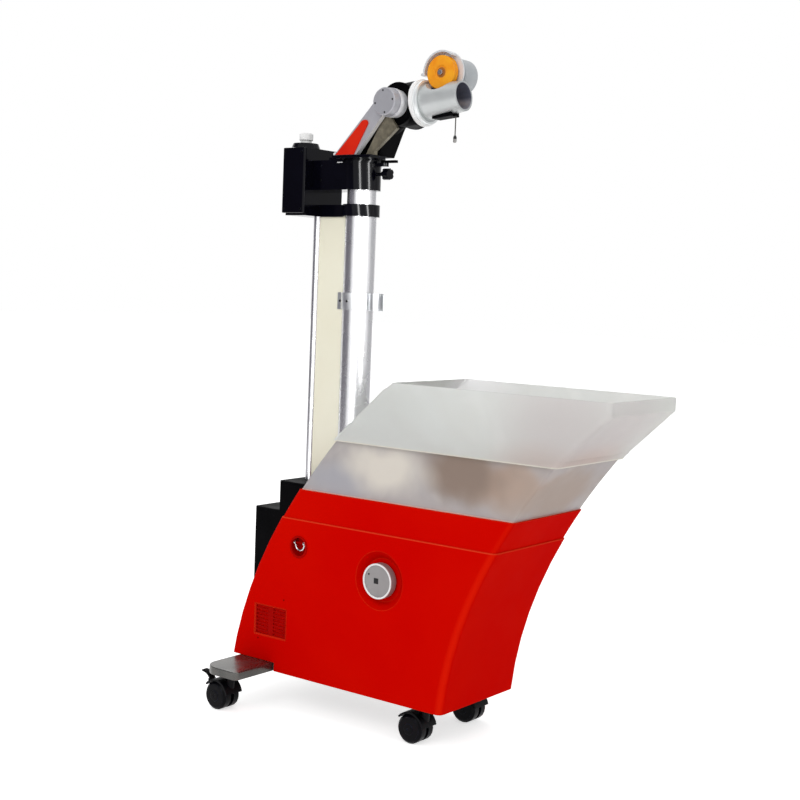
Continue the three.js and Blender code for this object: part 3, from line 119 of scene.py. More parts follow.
# Head: pivot cap, arm, barrel, throwing wheel and lead tip
PIVOT = (-0.10321, 1.067)
SIDE_SOFT = 0.0004
ARM_SIDE = (-0.0492, 0)
CAP_FACE = -0.0658
CAP_SIDE = (CAP_FACE - EDGE_ROUND, -0.0502)
HEAD_TILT = math.radians(5.5)
RADIUS_SOFT = 0.0003
STEP_RADIUS = 0.0335
BORE_RADIUS = 0.0223
BORE_ROOF = (1.0785, 1.2)
BORE_ROOF_SOFT = 0.008
WHEEL_CENTRE = (-0.0312, 1.11905)
WHEEL_HUB_RADIUS = 0.0084
WHEEL_HUB_SOFT = 0.0006
TIP_DARK = (1.0078, 1.02)

# Screw heads, as shares of their radius and rise
SCREW_SIDES = 20
RECESS_SIDES = 6
SCREW_CHAMFER = 0.25
CHAMFER_DROP = 0.6
RECESS_MOUTH = 0.5
RECESS_FOOT = 0.44
RECESS_FLOOR = 0.45

# Screws: each kind's head radius and rise, and its places on the face that carries it
CAP_SCREW = (0.0018, 0.0009)
CAP_SCREW_CIRCLE = 0.0185
CAP_SCREW_TURN = math.radians(8)
CAP_SCREW_DEPTH = 0.0011
BRACKET_SCREW = (0.0022, 0.0012)
BRACKET_FACE = -0.030
BRACKET_SCREWS = ((-0.267, 0.966), (-0.267, 0.941))
GEARBOX_SCREW = (0.0022, 0.001)
GEARBOX_SIDE = 0.054
GEARBOX_SCREWS = ((-0.3312, 0.8895), (-0.2922, 0.8895), (-0.3312, 0.9905), (-0.2922, 0.9905))
CONTROL_SCREW = (0.0024, 0.0011)
CONTROL_REAR = -0.3782
CONTROL_SCREWS = ((-0.047, 0.093), (0.047, 0.093), (-0.047, 0.331), (0.047, 0.331))
SHELL_SCREW = (0.0016, 0.0007)
SHELL_SCREWS = ((-0.3092, 0.12), (-0.2502, 0.198))
MOTOR_SCREW = (0.002, 0.0011)
MOTOR_SCREW_CIRCLE = 0.019
CLIP_SCREWS = ((-0.2308, -0.008, 0.729), (-0.1962, -0.0318, 0.729))
CLIP_SPOT = (0.0026, 0.004, 0.0026)
CLIP_SPOT_CORE = 0.85

# Other small pieces; a profile is a row of (radius, distance along the axis)
MOTOR_END = 0.0643
MOTOR_BOSS_SIDES = 32
MOTOR_BOSS_PROFILE = (
    (0.0085, -0.0002), (0.0085, 0.001), (0.0075, 0.0016), (0.003, 0.0016), (0.0028, 0.0008),
)
BRACKET_MARK = ((-0.2302, -0.0304, 0.9708), (-0.2178, -0.0298, 0.9724))
BRACKET_MARK_ROUND = 0.00025
GAUZE_WIRE = 0.0007
GAUZE_PITCH = 0.0012
GAUZE_GAP = 0.0004

# Casters: the middle (x, y) of each one's twin wheels
CASTERS = {
    "rear_right": (-0.3332, -0.172),
    "rear_left": (-0.3332, 0.172),
    "front_right": (0.0258, -0.078),
    "front_left": (0.0258, 0.078),
}
CASTER_WHEEL_HALF = 0.0198
CASTER_WHEEL_RADIUS = 0.025
CASTER_HUB_SIDES = 32
CASTER_HUB_PROFILE = (
    (0.0195, -0.0002), (0.0195, 0.0002), (0.0188, 0.0005), (0.0094, 0.0005), (0.0092, 0.0011),
    (0.0080, 0.0014), (0.0026, 0.0014), (0.0024, 0.0008),
)

# The shell's seam, and its front profile: its foot, its lean and its bend; a painted highlight runs
# along each
PANEL_Y = -0.11
SHELL_SEAM = (0.3448, 0.346)
SHELL_FLOOR = 0.066
SHELL_FRONT = 0.0968
SHELL_LEAN = 0.09
SHELL_BEND = 0.8606
CORNER_REACH = 0.014
CORNER_HIGHLIGHT_STRENGTH = 0.8

# Painted light and shade in the tray and the hood: soft patches of sheen, of the shade inside seen
# through their walls and of reflected red: centre, reach and colour
TRAY_PAINTED_LIGHT_AND_SHADE = (
    ((-0.140, -0.104, 0.425), (0.09, 0.08, 0.05), (194, 193, 199)),
    ((0.20, -0.104, 0.455), (0.13, 0.12, 0.05), (206, 182, 166)),
    ((0.24, -0.02, 0.44), (0.10, 0.14, 0.08), (192, 176, 165)),
    ((0.115, -0.104, 0.47), (0.11, 0.12, 0.075), (164, 145, 133)),
    ((-0.045, -0.104, 0.455), (0.12, 0.09, 0.055), (244, 238, 228)),
)
HOOD_PAINTED_LIGHT_AND_SHADE = (
    ((-0.06, 0.106, 0.59), (0.2, 0.06, 0.06), (255, 255, 255)),
    ((0.30, -0.05, 0.56), (0.17, 0.2, 0.14), (229, 225, 224)),
    ((0.26, -0.03, 0.49), (0.14, 0.16, 0.06), (225, 212, 206)),
)
TRAY_RIM = (0.399, 0.4006)
HOOD_RIM = (0.491, 0.4938)

# sRGB colours that are laid over parts of a look
# Painted highlight on the shell's curved front corner
CORNER_HIGHLIGHT_RED = (244, 40, 14)
# Painted highlight along the step where the band meets the shell
SEAM_HIGHLIGHT_RED = (232, 62, 34)
DIAL_RIM_WHITE = (240, 240, 240)
# Painted highlight along the hood's lower rim
HOOD_RIM_HIGHLIGHT_WHITE = (253, 250, 240)
TRAY_RIM_PINK = (244, 214, 200)
HUB_BROWN = (168, 104, 44)
STEP_WHITE = (244, 247, 247)
BORE_GREY = (184, 184, 192)
# Painted shade in the roof of the bore
BORE_ROOF_SHADE_GREY = (112, 115, 130)
# Painted highlight on the arm's side face
ARM_SIDE_HIGHLIGHT_WHITE = (244, 244, 247)
CAP_SIDE_GREY = (177, 177, 183)
TIP_BLACK = (38, 37, 38)
CLIP_SPOT_BLACK = (46, 44, 46)

# Lumps of a ball's size that make the tray's patches uneven at the edge
LUMP_SCALE = 22
LUMP_RANGE = (0.3, 0.7)
LUMP_DEPTH = 0.12

# Noise that every surface has: its scale, and the range of it that is used. An edge shows where
# the rounded normal turns away from the flat one.
PATCH_RANGE = (0.32, 0.68)
WEAR_SCALE = 160
WEAR_RANGE = (0.42, 0.62)
EDGE_RANGE = (0.995, 0.85)
EDGE_SAMPLES = 4
SMUDGE_SCALE = 22
SMUDGE_RANGE = (0.3, 0.72)

# The same for clear plastic, whose finer clouds lie over the large ones, and its gentle waves
CLOUD_RANGE = (0.34, 0.66)
FINE_CLOUD_SCALE = 2.3
FINE_CLOUD_RANGE = (0.55, 0.7)
FINE_CLOUD_DEPTH = 0.7
HAZE_SCALE = 30
HAZE_RANGE = (0.3, 0.7)
WAVE_SCALE = 40
WAVE_HEIGHT = 0.00006
CLEAR_IOR = 1.3
CLEAR_GLOSS = 0.3

# Surfaces by name: shades and the edge colour (wear, and on some surfaces a painted highlight) are
# sRGB colours, rough is the range of roughness, patch and grain are noise scales, and relief is the
# grain's height in metres
SURFACES = {
    # The red shell's almost unbroken light edges are a painted highlight
    "red_shell": dict(
        shades=((210, 3, 0), (216, 12, 0)), patch=4,
        rough=(0.55, 0.68), grain=900, relief=0.00003,
        worn_and_highlit=(240, 74, 40), gloss=0.006, wear_and_highlight=0.6, tint=(1, 0.25, 0.15, 1), edge_round=SHELL_ROUND,
        wear_range=(0.1, 0.3),
    ),
    "vent_red": dict(
        shades=((166, 2, 0), (178, 4, 2)), patch=30,
        rough=(0.5, 0.65), grain=700, relief=0.00006,
        worn_and_highlit=(200, 16, 8), gloss=0.04, tint=(1, 0.4, 0.3, 1),
    ),
    # The gauze is painted lighter than the vent, painted light against the shade of its recess
    "gauze_red_painted_light": dict(
        shades=((250, 10, 2), (240, 6, 0)), patch=60,
        rough=(0.5, 0.65), grain=700, relief=0.00004,
        worn_and_highlit=(252, 40, 20), gloss=0.04, tint=(1, 0.4, 0.3, 1),
    ),
    "inlay_red": dict(
        shades=((220, 34, 0), (208, 24, 0)), patch=20,
        rough=(0.36, 0.5), grain=800, relief=0.00004,
        worn_and_highlit=(240, 110, 80), gloss=0.15,
    ),
    "orange": dict(
        shades=((245, 146, 6), (252, 172, 26)), patch=36,
        rough=(0.42, 0.6), grain=700, relief=0.00012,
        worn_and_highlit=(255, 205, 110), gloss=0.25,
    ),
    "black_gloss": dict(
        shades=((2, 2, 8), (6, 6, 16)), patch=14,
        rough=(0.1, 0.17), grain=700, relief=0.000003,
        worn_and_highlit=(64, 68, 92), gloss=0.18, wear_and_highlight=0.5, edge_round=TUBE_ROUND,
    ),
    "black_plastic": dict(
        shades=((2, 2, 3), (7, 7, 9)), patch=18,
        rough=(0.46, 0.62), grain=1400, relief=0.00008,
        worn_and_highlit=(44, 44, 50), gloss=0.03,
    ),
    "black_rubber": dict(
        shades=((4, 4, 6), (11, 11, 15)), patch=26,
        rough=(0.36, 0.52), grain=1100, relief=0.0001,
        worn_and_highlit=(58, 62, 78), gloss=0.1, wear_and_highlight=0.5,
    ),
    "tyre_black": dict(
        shades=((2, 2, 5), (7, 7, 12)), patch=40,
        rough=(0.26, 0.42), grain=900, relief=0.0001,
        worn_and_highlit=(60, 66, 92), gloss=0.08, wear_and_highlight=0.6,
    ),
    "ink": dict(
        shades=((14, 14, 16), (30, 30, 34)), patch=300,
        rough=(0.4, 0.55), grain=900, relief=0.00003,
        worn_and_highlit=(60, 60, 64), gloss=0.3,
    ),
    "lead_grey": dict(
        shades=((66, 62, 58), (92, 88, 82)), patch=200,
        rough=(0.45, 0.6), grain=900, relief=0.00003,
        worn_and_highlit=(130, 126, 120), gloss=0.3,
    ),
    "cream": dict(
        shades=((252, 249, 230), (246, 242, 220)), patch=5,
        rough=(0.5, 0.65), grain=800, relief=0.00005,
        worn_and_highlit=(253, 251, 240), gloss=0.25,
    ),
    "white_plastic": dict(
        shades=((252, 252, 252), (248, 248, 247)), patch=20,
        rough=(0.34, 0.5), grain=900, relief=0.00004,
        worn_and_highlit=(252, 252, 251), gloss=0.4,
    ),
    "motor_grey": dict(
        shades=((188, 192, 195), (174, 179, 183)), patch=24,
        rough=(0.36, 0.5), grain=700, relief=0.00005,
        worn_and_highlit=(236, 238, 240), gloss=0.4, metal=0.1,
    ),
    "silver_paint": dict(
        shades=((205, 204, 210), (193, 193, 199)), patch=40,
        rough=(0.32, 0.45), grain=900, relief=0.00002,
        worn_and_highlit=(226, 227, 229), gloss=0.4, metal=0.35,
    ),
    "bright_paint": dict(
        shades=((236, 237, 240), (226, 228, 231)), patch=12,
        rough=(0.28, 0.4), grain=900, relief=0.00002,
        worn_and_highlit=(244, 244, 246), gloss=0.4, metal=0.25,
    ),
    "dial": dict(
        shades=((144, 140, 141), (158, 155, 155)), patch=30,
        rough=(0.38, 0.5), grain=800, relief=0.00003,
        worn_and_highlit=(214, 212, 212), metal=0.3,
    ),
    # The foot bars' light edges are a painted highlight
    "cast_grey": dict(
        shades=((84, 84, 82), (108, 107, 104)), patch=20,
        rough=(0.2, 0.36), grain=500, relief=0.0001,
        worn_and_highlit=(214, 214, 210), wear_and_highlight=0.8, metal=0.85,
    ),
    "silver": dict(
        shades=((210, 210, 213), (218, 218, 220)), patch=9,
        rough=(0.25, 0.3), grain=900, relief=0.000004,
        worn_and_highlit=(240, 240, 241), metal=0.92, stretch=(1, 1, 0.02), edge_round=TUBE_ROUND,
    ),
    "barrel_metal": dict(
        shades=((186, 190, 190), (198, 201, 201)), patch=14,
        rough=(0.34, 0.42), grain=420, relief=0.00001,
        worn_and_highlit=(236, 236, 238), metal=0.5, stretch=(0.5, 4, 4),
    ),
    "brushed": dict(
        shades=((190, 192, 194), (208, 209, 211)), patch=14,
        rough=(0.28, 0.42), grain=420, relief=0.00003,
        worn_and_highlit=(236, 236, 238), metal=0.85, stretch=(0.5, 4, 4),
    ),
    "polished": dict(
        shades=((206, 206, 208), (222, 222, 224)), patch=24,
        rough=(0.14, 0.28), grain=600, relief=0.00002,
        worn_and_highlit=(244, 244, 244), metal=0.95,
    ),
    # The link cheek is bare aluminium whose shade is painted into this taupe
    "taupe": dict(
        shades=((136, 129, 110), (96, 90, 77)), patch=90,
        rough=(0.36, 0.52), grain=380, relief=0.00006,
        worn_and_highlit=(206, 200, 190), metal=0.5, stretch=(1, 1, 5),
    ),
    "tip": dict(
        shades=((150, 148, 146), (170, 168, 166)), patch=200,
        rough=(0.3, 0.42), grain=900, relief=0.00002,
        worn_and_highlit=(200, 198, 196), metal=0.6,
    ),
    "steel": dict(
        shades=((196, 196, 200), (214, 214, 218)), patch=60,
        rough=(0.22, 0.36), grain=700, relief=0.00004,
        worn_and_highlit=(236, 236, 238), metal=0.95,
    ),
}

# The hood's shades are lightened overall, a painted sheen
FROSTED_SHADES_WITH_SHEEN = ((243, 245, 243), (238, 239, 236), (248, 249, 247))
SMOKY_SHADES = ((196, 190, 190), (206, 200, 198), (214, 209, 206))
CLEAR_PLASTICS = {
    "frosted": dict(shades=FROSTED_SHADES_WITH_SHEEN, patch=5, rough=(0.5, 0.65), transmission=0.5),
    "clear_funnel": dict(shades=SMOKY_SHADES, patch=9, rough=(0.42, 0.55), transmission=0.25),
    "clear_tray": dict(shades=SMOKY_SHADES, patch=9, rough=(0.42, 0.55), transmission=0.25),
}

# Which nodes wear which look
NODE_LOOKS = {
    "red_shell": ("body_shell", "body_band"),
    "vent_red": ("vent_grille", "pull_cup"),
    "black_gloss": ("gearbox_housing", "collar", "ring_clamp", "pan_ring", "wing_screw"),
    "black_plastic": (
        "control_box", "lower_elbow", "upper_elbow", "feed_motor", "lift_motor", "mast_socket",
        "brake_block", "feed_turntable", "lock_lever", "brake_lever_rear_right",
        "brake_lever_rear_left",
    ),
    "black_rubber": ("lift_wheel", *("caster_fork_" + corner for corner in CASTERS)),
    "tyre_black": tuple("caster_wheels_" + corner for corner in CASTERS),
    "frosted": ("hopper_hood",),
    "clear_tray": ("hopper_tray",),
    "clear_funnel": ("hopper_funnel",),
    "cast_grey": ("rear_crossbar", "front_crossbar", "base_plate"),
    "silver": ("riser_tube", "inner_tube", "rear_column"),
    "brushed": ("clip_band",),
    "barrel_metal": ("barrel",),
    "silver_paint": ("arm_cheek", "pivot_cap"),
    "motor_grey": ("throw_motor",),
    "dial": ("dial_knob",),
    "bright_paint": ("pivot_drum", "wheel_guard"),
    "polished": ("pull_bail",),
    "cream": ("web_panel",),
    "white_plastic": (
        "barrel_flange", "gearbox_knob", "feed_bowl", "ball_stud", "ball_bend_right", "ball_bend_left",
    ),
    "inlay_red": ("arm_inlay",),
    "taupe": ("link_cheek",),
    "lead_grey": ("lead",),
    "tip": ("lead_tip",),
    "orange": ("throw_wheel",),
    "steel": ("throw_bolt",),
}


def linear(value):
    share = value / 255
    return share / 12.92 if share <= 0.04045 else ((share + 0.055) / 1.055) ** 2.4


def srgb(red, green, blue):
    return (linear(red), linear(green), linear(blue), 1.0)


def link(obj):
    bpy.context.scene.collection.objects.link(obj)
    return obj


def add_camera():
    forward = Vector((
        math.sin(VIEW_YAW) * math.cos(VIEW_PITCH),
        math.cos(VIEW_YAW) * math.cos(VIEW_PITCH),
        -math.sin(VIEW_PITCH),
    ))
    right = Vector((math.cos(VIEW_YAW), -math.sin(VIEW_YAW), 0))
    up = right.cross(forward)
    side = math.cos(VIEW_ROLL) * right + math.sin(VIEW_ROLL) * up
    top = math.cos(VIEW_ROLL) * up - math.sin(VIEW_ROLL) * right
    data = bpy.data.cameras.new("view")
    data.sensor_width = SENSOR_MM
    data.lens = SENSOR_MM * VIEW_FOCAL_SHARE
    data.dof.use_dof = False
    camera = link(bpy.data.objects.new("view", data))
    turn = Matrix((side, top, -forward)).transposed().to_4x4()
    camera.matrix_world = Matrix.Translation(VIEW_PLACE) @ turn
    bpy.context.scene.camera = camera


# Node graphs
def new_material(name):
    material = bpy.data.materials.new(name)
    material.use_nodes = True
    tree = material.node_tree
    shader = tree.nodes["Principled BSDF"]
    return material, tree, shader


def add(tree, kind, **settings):
    node = tree.nodes.new(kind)
    for key, value in settings.items():
        setattr(node, key, value)
    return node


def object_place(tree):
    return add(tree, "ShaderNodeTexCoord").outputs["Object"]


def stretched_place(tree, stretch):
    mapping = add(tree, "ShaderNodeMapping")
    mapping.inputs["Scale"].default_value = stretch
    tree.links.new(object_place(tree), mapping.inputs["Vector"])
    return mapping.outputs["Vector"]


def place_along(tree, axis):
    apart = add(tree, "ShaderNodeSeparateXYZ")
    tree.links.new(object_place(tree), apart.inputs[0])
    return apart.outputs[axis]


def length_of(tree, vector):
    length = add(tree, "ShaderNodeVectorMath", operation="LENGTH")
    tree.links.new(vector, length.inputs[0])
    return length.outputs["Value"]


def noise(tree, place, scale, detail=3.0, distortion=0.0):
    node = add(tree, "ShaderNodeTexNoise")
    node.inputs["Scale"].default_value = scale
    node.inputs["Detail"].default_value = detail
    node.inputs["Distortion"].default_value = distortion
    tree.links.new(place, node.inputs["Vector"])
    return node.outputs["Fac"]


def remap(tree, value, low, high, to_low=0.0, to_high=1.0, curve="LINEAR"):
    node = add(tree, "ShaderNodeMapRange", interpolation_type=curve)
    node.inputs["From Min"].default_value = low
    node.inputs["From Max"].default_value = high
    node.inputs["To Min"].default_value = to_low
    node.inputs["To Max"].default_value = to_high
    tree.links.new(value, node.inputs["Value"])
    return node.outputs["Result"]


def math_node(tree, operation, first, second):
    node = add(tree, "ShaderNodeMath", operation=operation)
    for socket, value in zip(node.inputs, (first, second)):
        if isinstance(value, (int, float)):
            socket.default_value = value
        else:
            tree.links.new(value, socket)
    return node.outputs[0]


def times(tree, first, second):
    return math_node(tree, "MULTIPLY", first, second)


def mix(tree, share, first, second):
    node = add(tree, "ShaderNodeMix", data_type="RGBA")
    factor, a, b = node.inputs[0], node.inputs[6], node.inputs[7]
    tree.links.new(share, factor)
    for socket, value in ((a, first), (b, second)):
        if isinstance(value, tuple):
            socket.default_value = value
        else:
            tree.links.new(value, socket)
    return node.outputs[2]


def bump(tree, height, distance):
    node = add(tree, "ShaderNodeBump")
    node.inputs["Distance"].default_value = distance
    tree.links.new(height, node.inputs["Height"])
    return node


# 1 between two places on an axis, with soft ends
def band_share(tree, low, high, soft=0.0006, axis="Z"):
    place = place_along(tree, axis)
    above = remap(tree, place, low - soft, low)
    below = remap(tree, place, high, high + soft, 1.0, 0.0)
    return times(tree, above, below)


# 1 near a point, fading to 0 at the reach given for each axis, with an edge as ragged as asked
def spot_share(tree, centre, reach, core=0.25, ragged=0.0):
    mapping = add(tree, "ShaderNodeMapping", vector_type="TEXTURE")
    mapping.inputs["Location"].default_value = centre
    mapping.inputs["Scale"].default_value = reach
    tree.links.new(object_place(tree), mapping.inputs["Vector"])
    distance = length_of(tree, mapping.outputs["Vector"])
    if ragged:
        lumps = noise(tree, object_place(tree), LUMP_SCALE, detail=1.0)
        raised = remap(tree, lumps, *LUMP_RANGE, -ragged, ragged)
        distance = math_node(tree, "ADD", distance, raised)
    return remap(tree, distance, core, 1.0, 1.0, 0.0, "SMOOTHSTEP")


# Distance from an axis across the machine, or from one given by a turn and the plane that it keeps
def radius_from(tree, centre, turn=(0, 0, 0), kept=(1, 0, 1)):
    mapping = add(tree, "ShaderNodeMapping", vector_type="TEXTURE")
    mapping.inputs["Location"].default_value = (centre[0], 0, centre[1])
    mapping.inputs["Rotation"].default_value = turn
    tree.links.new(object_place(tree), mapping.inputs["Vector"])
    flat = add(tree, "ShaderNodeVectorMath", operation="MULTIPLY")
    flat.inputs[1].default_value = kept
    tree.links.new(mapping.outputs["Vector"], flat.inputs[0])
    return length_of(tree, flat.outputs["Vector"])


def barrel_radius(tree):
    return radius_from(tree, PIVOT, (0, -HEAD_TILT, 0), (0, 1, 1))


# 1 on the step behind the barrel
def step_share(tree):
    return remap(tree, barrel_radius(tree), STEP_RADIUS, STEP_RADIUS + RADIUS_SOFT)


# 1 inside the barrel
def bore_share(tree):
    return remap(tree, barrel_radius(tree), BORE_RADIUS, BORE_RADIUS + RADIUS_SOFT, 1.0, 0.0)


# 1 in the upper part of the bore, where shade is painted darker
def bore_roof_shade_share(tree):
    return times(tree, bore_share(tree), band_share(tree, *BORE_ROOF, BORE_ROOF_SOFT))


# 1 on the hub of the throwing wheel
def wheel_hub_share(tree):
    edge = WHEEL_HUB_RADIUS + WHEEL_HUB_SOFT
    return remap(tree, radius_from(tree, WHEEL_CENTRE), WHEEL_HUB_RADIUS, edge, 1.0, 0.0)


# The painted highlight's strength along the shell's curved front corner on the near side, fading
# behind it
def corner_highlight_share(tree):
    height = math_node(tree, "SUBTRACT", place_along(tree, "Z"), SHELL_FLOOR)
    lean = times(tree, height, SHELL_LEAN)
    bend = times(tree, times(tree, height, height), SHELL_BEND)
    front = math_node(tree, "ADD", math_node(tree, "ADD", lean, bend), SHELL_FRONT)
    behind = math_node(tree, "SUBTRACT", front, place_along(tree, "X"))
    glow = remap(tree, behind, 0.0, CORNER_REACH, CORNER_HIGHLIGHT_STRENGTH, 0.0)
    near = remap(tree, place_along(tree, "Y"), PANEL_Y, PANEL_Y + CORNER_REACH / 2, 1.0, 0.0)
    return times(tree, glow, near)


# 1 on outer and inner edges, and the normal that rounds them
def edge_share(tree, radius):
    rounded = add(tree, "ShaderNodeBevel", samples=EDGE_SAMPLES)
    rounded.inputs["Radius"].default_value = radius
    flat = add(tree, "ShaderNodeNewGeometry").outputs["Normal"]
    dot = add(tree, "ShaderNodeVectorMath", operation="DOT_PRODUCT")
    tree.links.new(rounded.outputs["Normal"], dot.inputs[0])
    tree.links.new(flat, dot.inputs[1])
    return remap(tree, dot.outputs["Value"], *EDGE_RANGE), rounded.outputs["Normal"]


# A moulded, painted or machined surface: two shades in soft patches, a fine grain that stretch can
# draw out into brush lines, uneven gloss, and lighter edges that show wear and, on the red shell and
# the foot bars, a painted highlight
def surface(name, shades, patch, rough, grain, relief, worn_and_highlit, metal=0.0, gloss=0.5, stretch=(1, 1, 1),
            wear_and_highlight=0.35, tint=WHITE, edge_round=EDGE_ROUND, wear_range=WEAR_RANGE):
    material, tree, shader = new_material(name)
    place = object_place(tree)
    patches = noise(tree, place, patch, detail=4.0, distortion=0.4)
    patches = remap(tree, patches, *PATCH_RANGE)
    colour = mix(tree, patches, srgb(*shades[0]), srgb(*shades[1]))
    edge, rounded = edge_share(tree, edge_round)
    broken = remap(tree, noise(tree, place, WEAR_SCALE), *wear_range)
    wear_and_highlight_share = times(tree, times(tree, edge, broken), wear_and_highlight)
    tree.links.new(mix(tree, wear_and_highlight_share, colour, srgb(*worn_and_highlit)), shader.inputs["Base Color"])
    smudges = noise(tree, place, SMUDGE_SCALE, detail=4.0, distortion=0.8)
    tree.links.new(remap(tree, smudges, *SMUDGE_RANGE, *rough), shader.inputs["Roughness"])
    grains = bump(tree, noise(tree, stretched_place(tree, stretch), grain, detail=2.0), relief)
    tree.links.new(rounded, grains.inputs["Normal"])
    tree.links.new(grains.outputs["Normal"], shader.inputs["Normal"])
    shader.inputs["Metallic"].default_value = metal
    shader.inputs["Specular IOR Level"].default_value = gloss
    shader.inputs["Specular Tint"].default_value = tint
    return material


# A milky or smoky clear plastic with clouded patches
def clear_plastic(name, shades, patch, rough, transmission):
    material, tree, shader = new_material(name)
    place = object_place(tree)
    clouds = remap(tree, noise(tree, place, patch, distortion=1.2), *CLOUD_RANGE)
    colour = mix(tree, clouds, srgb(*shades[0]), srgb(*shades[1]))
    fine = noise(tree, place, patch * FINE_CLOUD_SCALE, detail=2.0, distortion=0.6)
    fine_clouds = remap(tree, fine, *FINE_CLOUD_RANGE, 0.0, FINE_CLOUD_DEPTH)
    tree.links.new(mix(tree, fine_clouds, colour, srgb(*shades[2])), shader.inputs["Base Color"])
    haze = noise(tree, place, HAZE_SCALE, detail=4.0, distortion=0.5)
    tree.links.new(remap(tree, haze, *HAZE_RANGE, *rough), shader.inputs["Roughness"])
    waves = bump(tree, noise(tree, place, WAVE_SCALE, detail=1.0), WAVE_HEIGHT)
    tree.links.new(waves.outputs["Normal"], shader.inputs["Normal"])
    shader.inputs["Transmission Weight"].default_value = transmission
    shader.inputs["IOR"].default_value = CLEAR_IOR
    shader.inputs["Specular IOR Level"].default_value = CLEAR_GLOSS
    return material


# Lays another sRGB colour over a finished material where make_share gives 1
def overlay(material, colour, make_share, *places, **options):
    tree = material.node_tree
    target = tree.nodes["Principled BSDF"].inputs["Base Color"]
    below = target.links[0].from_socket
    share = make_share(tree, *places, **options)
    tree.links.new(mix(tree, share, below, srgb(*colour)), target)


def lay_machine_details(looks):
    # Painted highlights along the shell's front corner and along its seam
    overlay(looks["red_shell"], CORNER_HIGHLIGHT_RED, corner_highlight_share)
    overlay(looks["red_shell"], SEAM_HIGHLIGHT_RED, band_share, *SHELL_SEAM)
    overlay(looks["dial"], DIAL_RIM_WHITE, band_share, *DIAL_RIM, DIAL_RIM_SOFT, "Y")
    for centre in CLIP_SCREWS:
        overlay(looks["brushed"], CLIP_SPOT_BLACK, spot_share, centre, CLIP_SPOT, CLIP_SPOT_CORE)


# Painted light and shade on the hopper: the hood's and the tray's patches, and the highlight on the
# hood's rim
def lay_hopper_details(looks):
    for centre, reach, colour in HOOD_PAINTED_LIGHT_AND_SHADE:
        overlay(looks["frosted"], colour, spot_share, centre, reach)
    # Painted highlight along the hood's lower rim
    overlay(looks["frosted"], HOOD_RIM_HIGHLIGHT_WHITE, band_share, *HOOD_RIM)
    for centre, reach, colour in TRAY_PAINTED_LIGHT_AND_SHADE:
        overlay(looks["clear_tray"], colour, spot_share, centre, reach, ragged=LUMP_DEPTH)
    overlay(looks["clear_tray"], TRAY_RIM_PINK, band_share, *TRAY_RIM)


def lay_head_details(looks):
    overlay(looks["orange"], HUB_BROWN, wheel_hub_share)
    overlay(looks["barrel_metal"], STEP_WHITE, step_share)
    overlay(looks["barrel_metal"], BORE_GREY, bore_share)
    # Painted shade in the bore's roof
    overlay(looks["barrel_metal"], BORE_ROOF_SHADE_GREY, bore_roof_shade_share)
    # Painted highlight on the arm's side face
    overlay(looks["silver_paint"], ARM_SIDE_HIGHLIGHT_WHITE, band_share, *ARM_SIDE, SIDE_SOFT, "Y")
    overlay(looks["silver_paint"], CAP_SIDE_GREY, band_share, *CAP_SIDE, SIDE_SOFT, "Y")
    overlay(looks["tip"], TIP_BLACK, band_share, *TIP_DARK)


def make_looks():
    looks = {}
    for name, settings in SURFACES.items():
        looks[name] = surface(name, **settings)
    for name, settings in CLEAR_PLASTICS.items():
        looks[name] = clear_plastic(name, **settings)
    lay_machine_details(looks)
    lay_hopper_details(looks)
    lay_head_details(looks)
    return looks


# Smooth shading that keeps edges sharper than SHARP_ANGLE
def add_smoothing_group():
    group = bpy.data.node_groups.new(SMOOTH_GROUP, "GeometryNodeTree")
    group.interface.new_socket("Geometry", in_out="INPUT", socket_type="NodeSocketGeometry")
    group.interface.new_socket("Geometry", in_out="OUTPUT", socket_type="NodeSocketGeometry")
    start = add(group, "NodeGroupInput").outputs[0]
    weld = add(group, "GeometryNodeMergeByDistance")
    weld.inputs["Distance"].default_value = WELD_DISTANCE
    plain = add(group, "GeometryNodeRemoveAttribute")
    plain.inputs["Name"].default_value = "custom_normal"
    round_faces = add(group, "GeometryNodeSetShadeSmooth", domain="FACE")
    angle = add(group, "GeometryNodeInputMeshEdgeAngle").outputs["Unsigned Angle"]
    gentle = add(group, "FunctionNodeCompare", data_type="FLOAT", operation="LESS_EQUAL")
    gentle.inputs["B"].default_value = SHARP_ANGLE
    sharp_edges = add(group, "GeometryNodeSetShadeSmooth", domain="EDGE")
    end = add(group, "NodeGroupOutput").inputs[0]
    group.links.new(start, weld.inputs["Geometry"])
    group.links.new(weld.outputs["Geometry"], plain.inputs["Geometry"])
    group.links.new(plain.outputs["Geometry"], round_faces.inputs["Geometry"])
    group.links.new(round_faces.outputs["Geometry"], sharp_edges.inputs["Geometry"])
    group.links.new(angle, gentle.inputs["A"])
    group.links.new(gentle.outputs["Result"], sharp_edges.inputs["Shade Smooth"])
    group.links.new(sharp_edges.outputs["Geometry"], end)


def smooth(obj):
    shading = obj.modifiers.new("smooth", "NODES")
    shading.node_group = bpy.data.node_groups[SMOOTH_GROUP]
    weights = obj.modifiers.new("weights", "WEIGHTED_NORMAL")
    weights.keep_sharp = True


def dress_nodes(looks):
    for look, names in NODE_LOOKS.items():
        for name in names:
            node = nodes[name]
            node.data.materials.clear()
            node.data.materials.append(looks[look])
            smooth(node)


def add_lead(looks):
    curve = bpy.data.curves.new("hanging_lead", "CURVE")
    curve.dimensions = "3D"
    curve.bevel_depth = LEAD_DIAMETER / 2
    curve.bevel_resolution = 4
    curve.use_fill_caps = True
    spline = curve.splines.new("POLY")
    spline.points.add(LEAD_POINTS - 1)
    x, y, z = LEAD_TOP
    for i, point in enumerate(spline.points):
        down = LEAD_LENGTH * i / (LEAD_POINTS - 1)
        point.co = (x, y, z - down, 1)
    lead = link(bpy.data.objects.new("hanging_lead", curve))
    curve.materials.append(looks["lead_grey"])
    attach(lead, "head")
    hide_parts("lead")


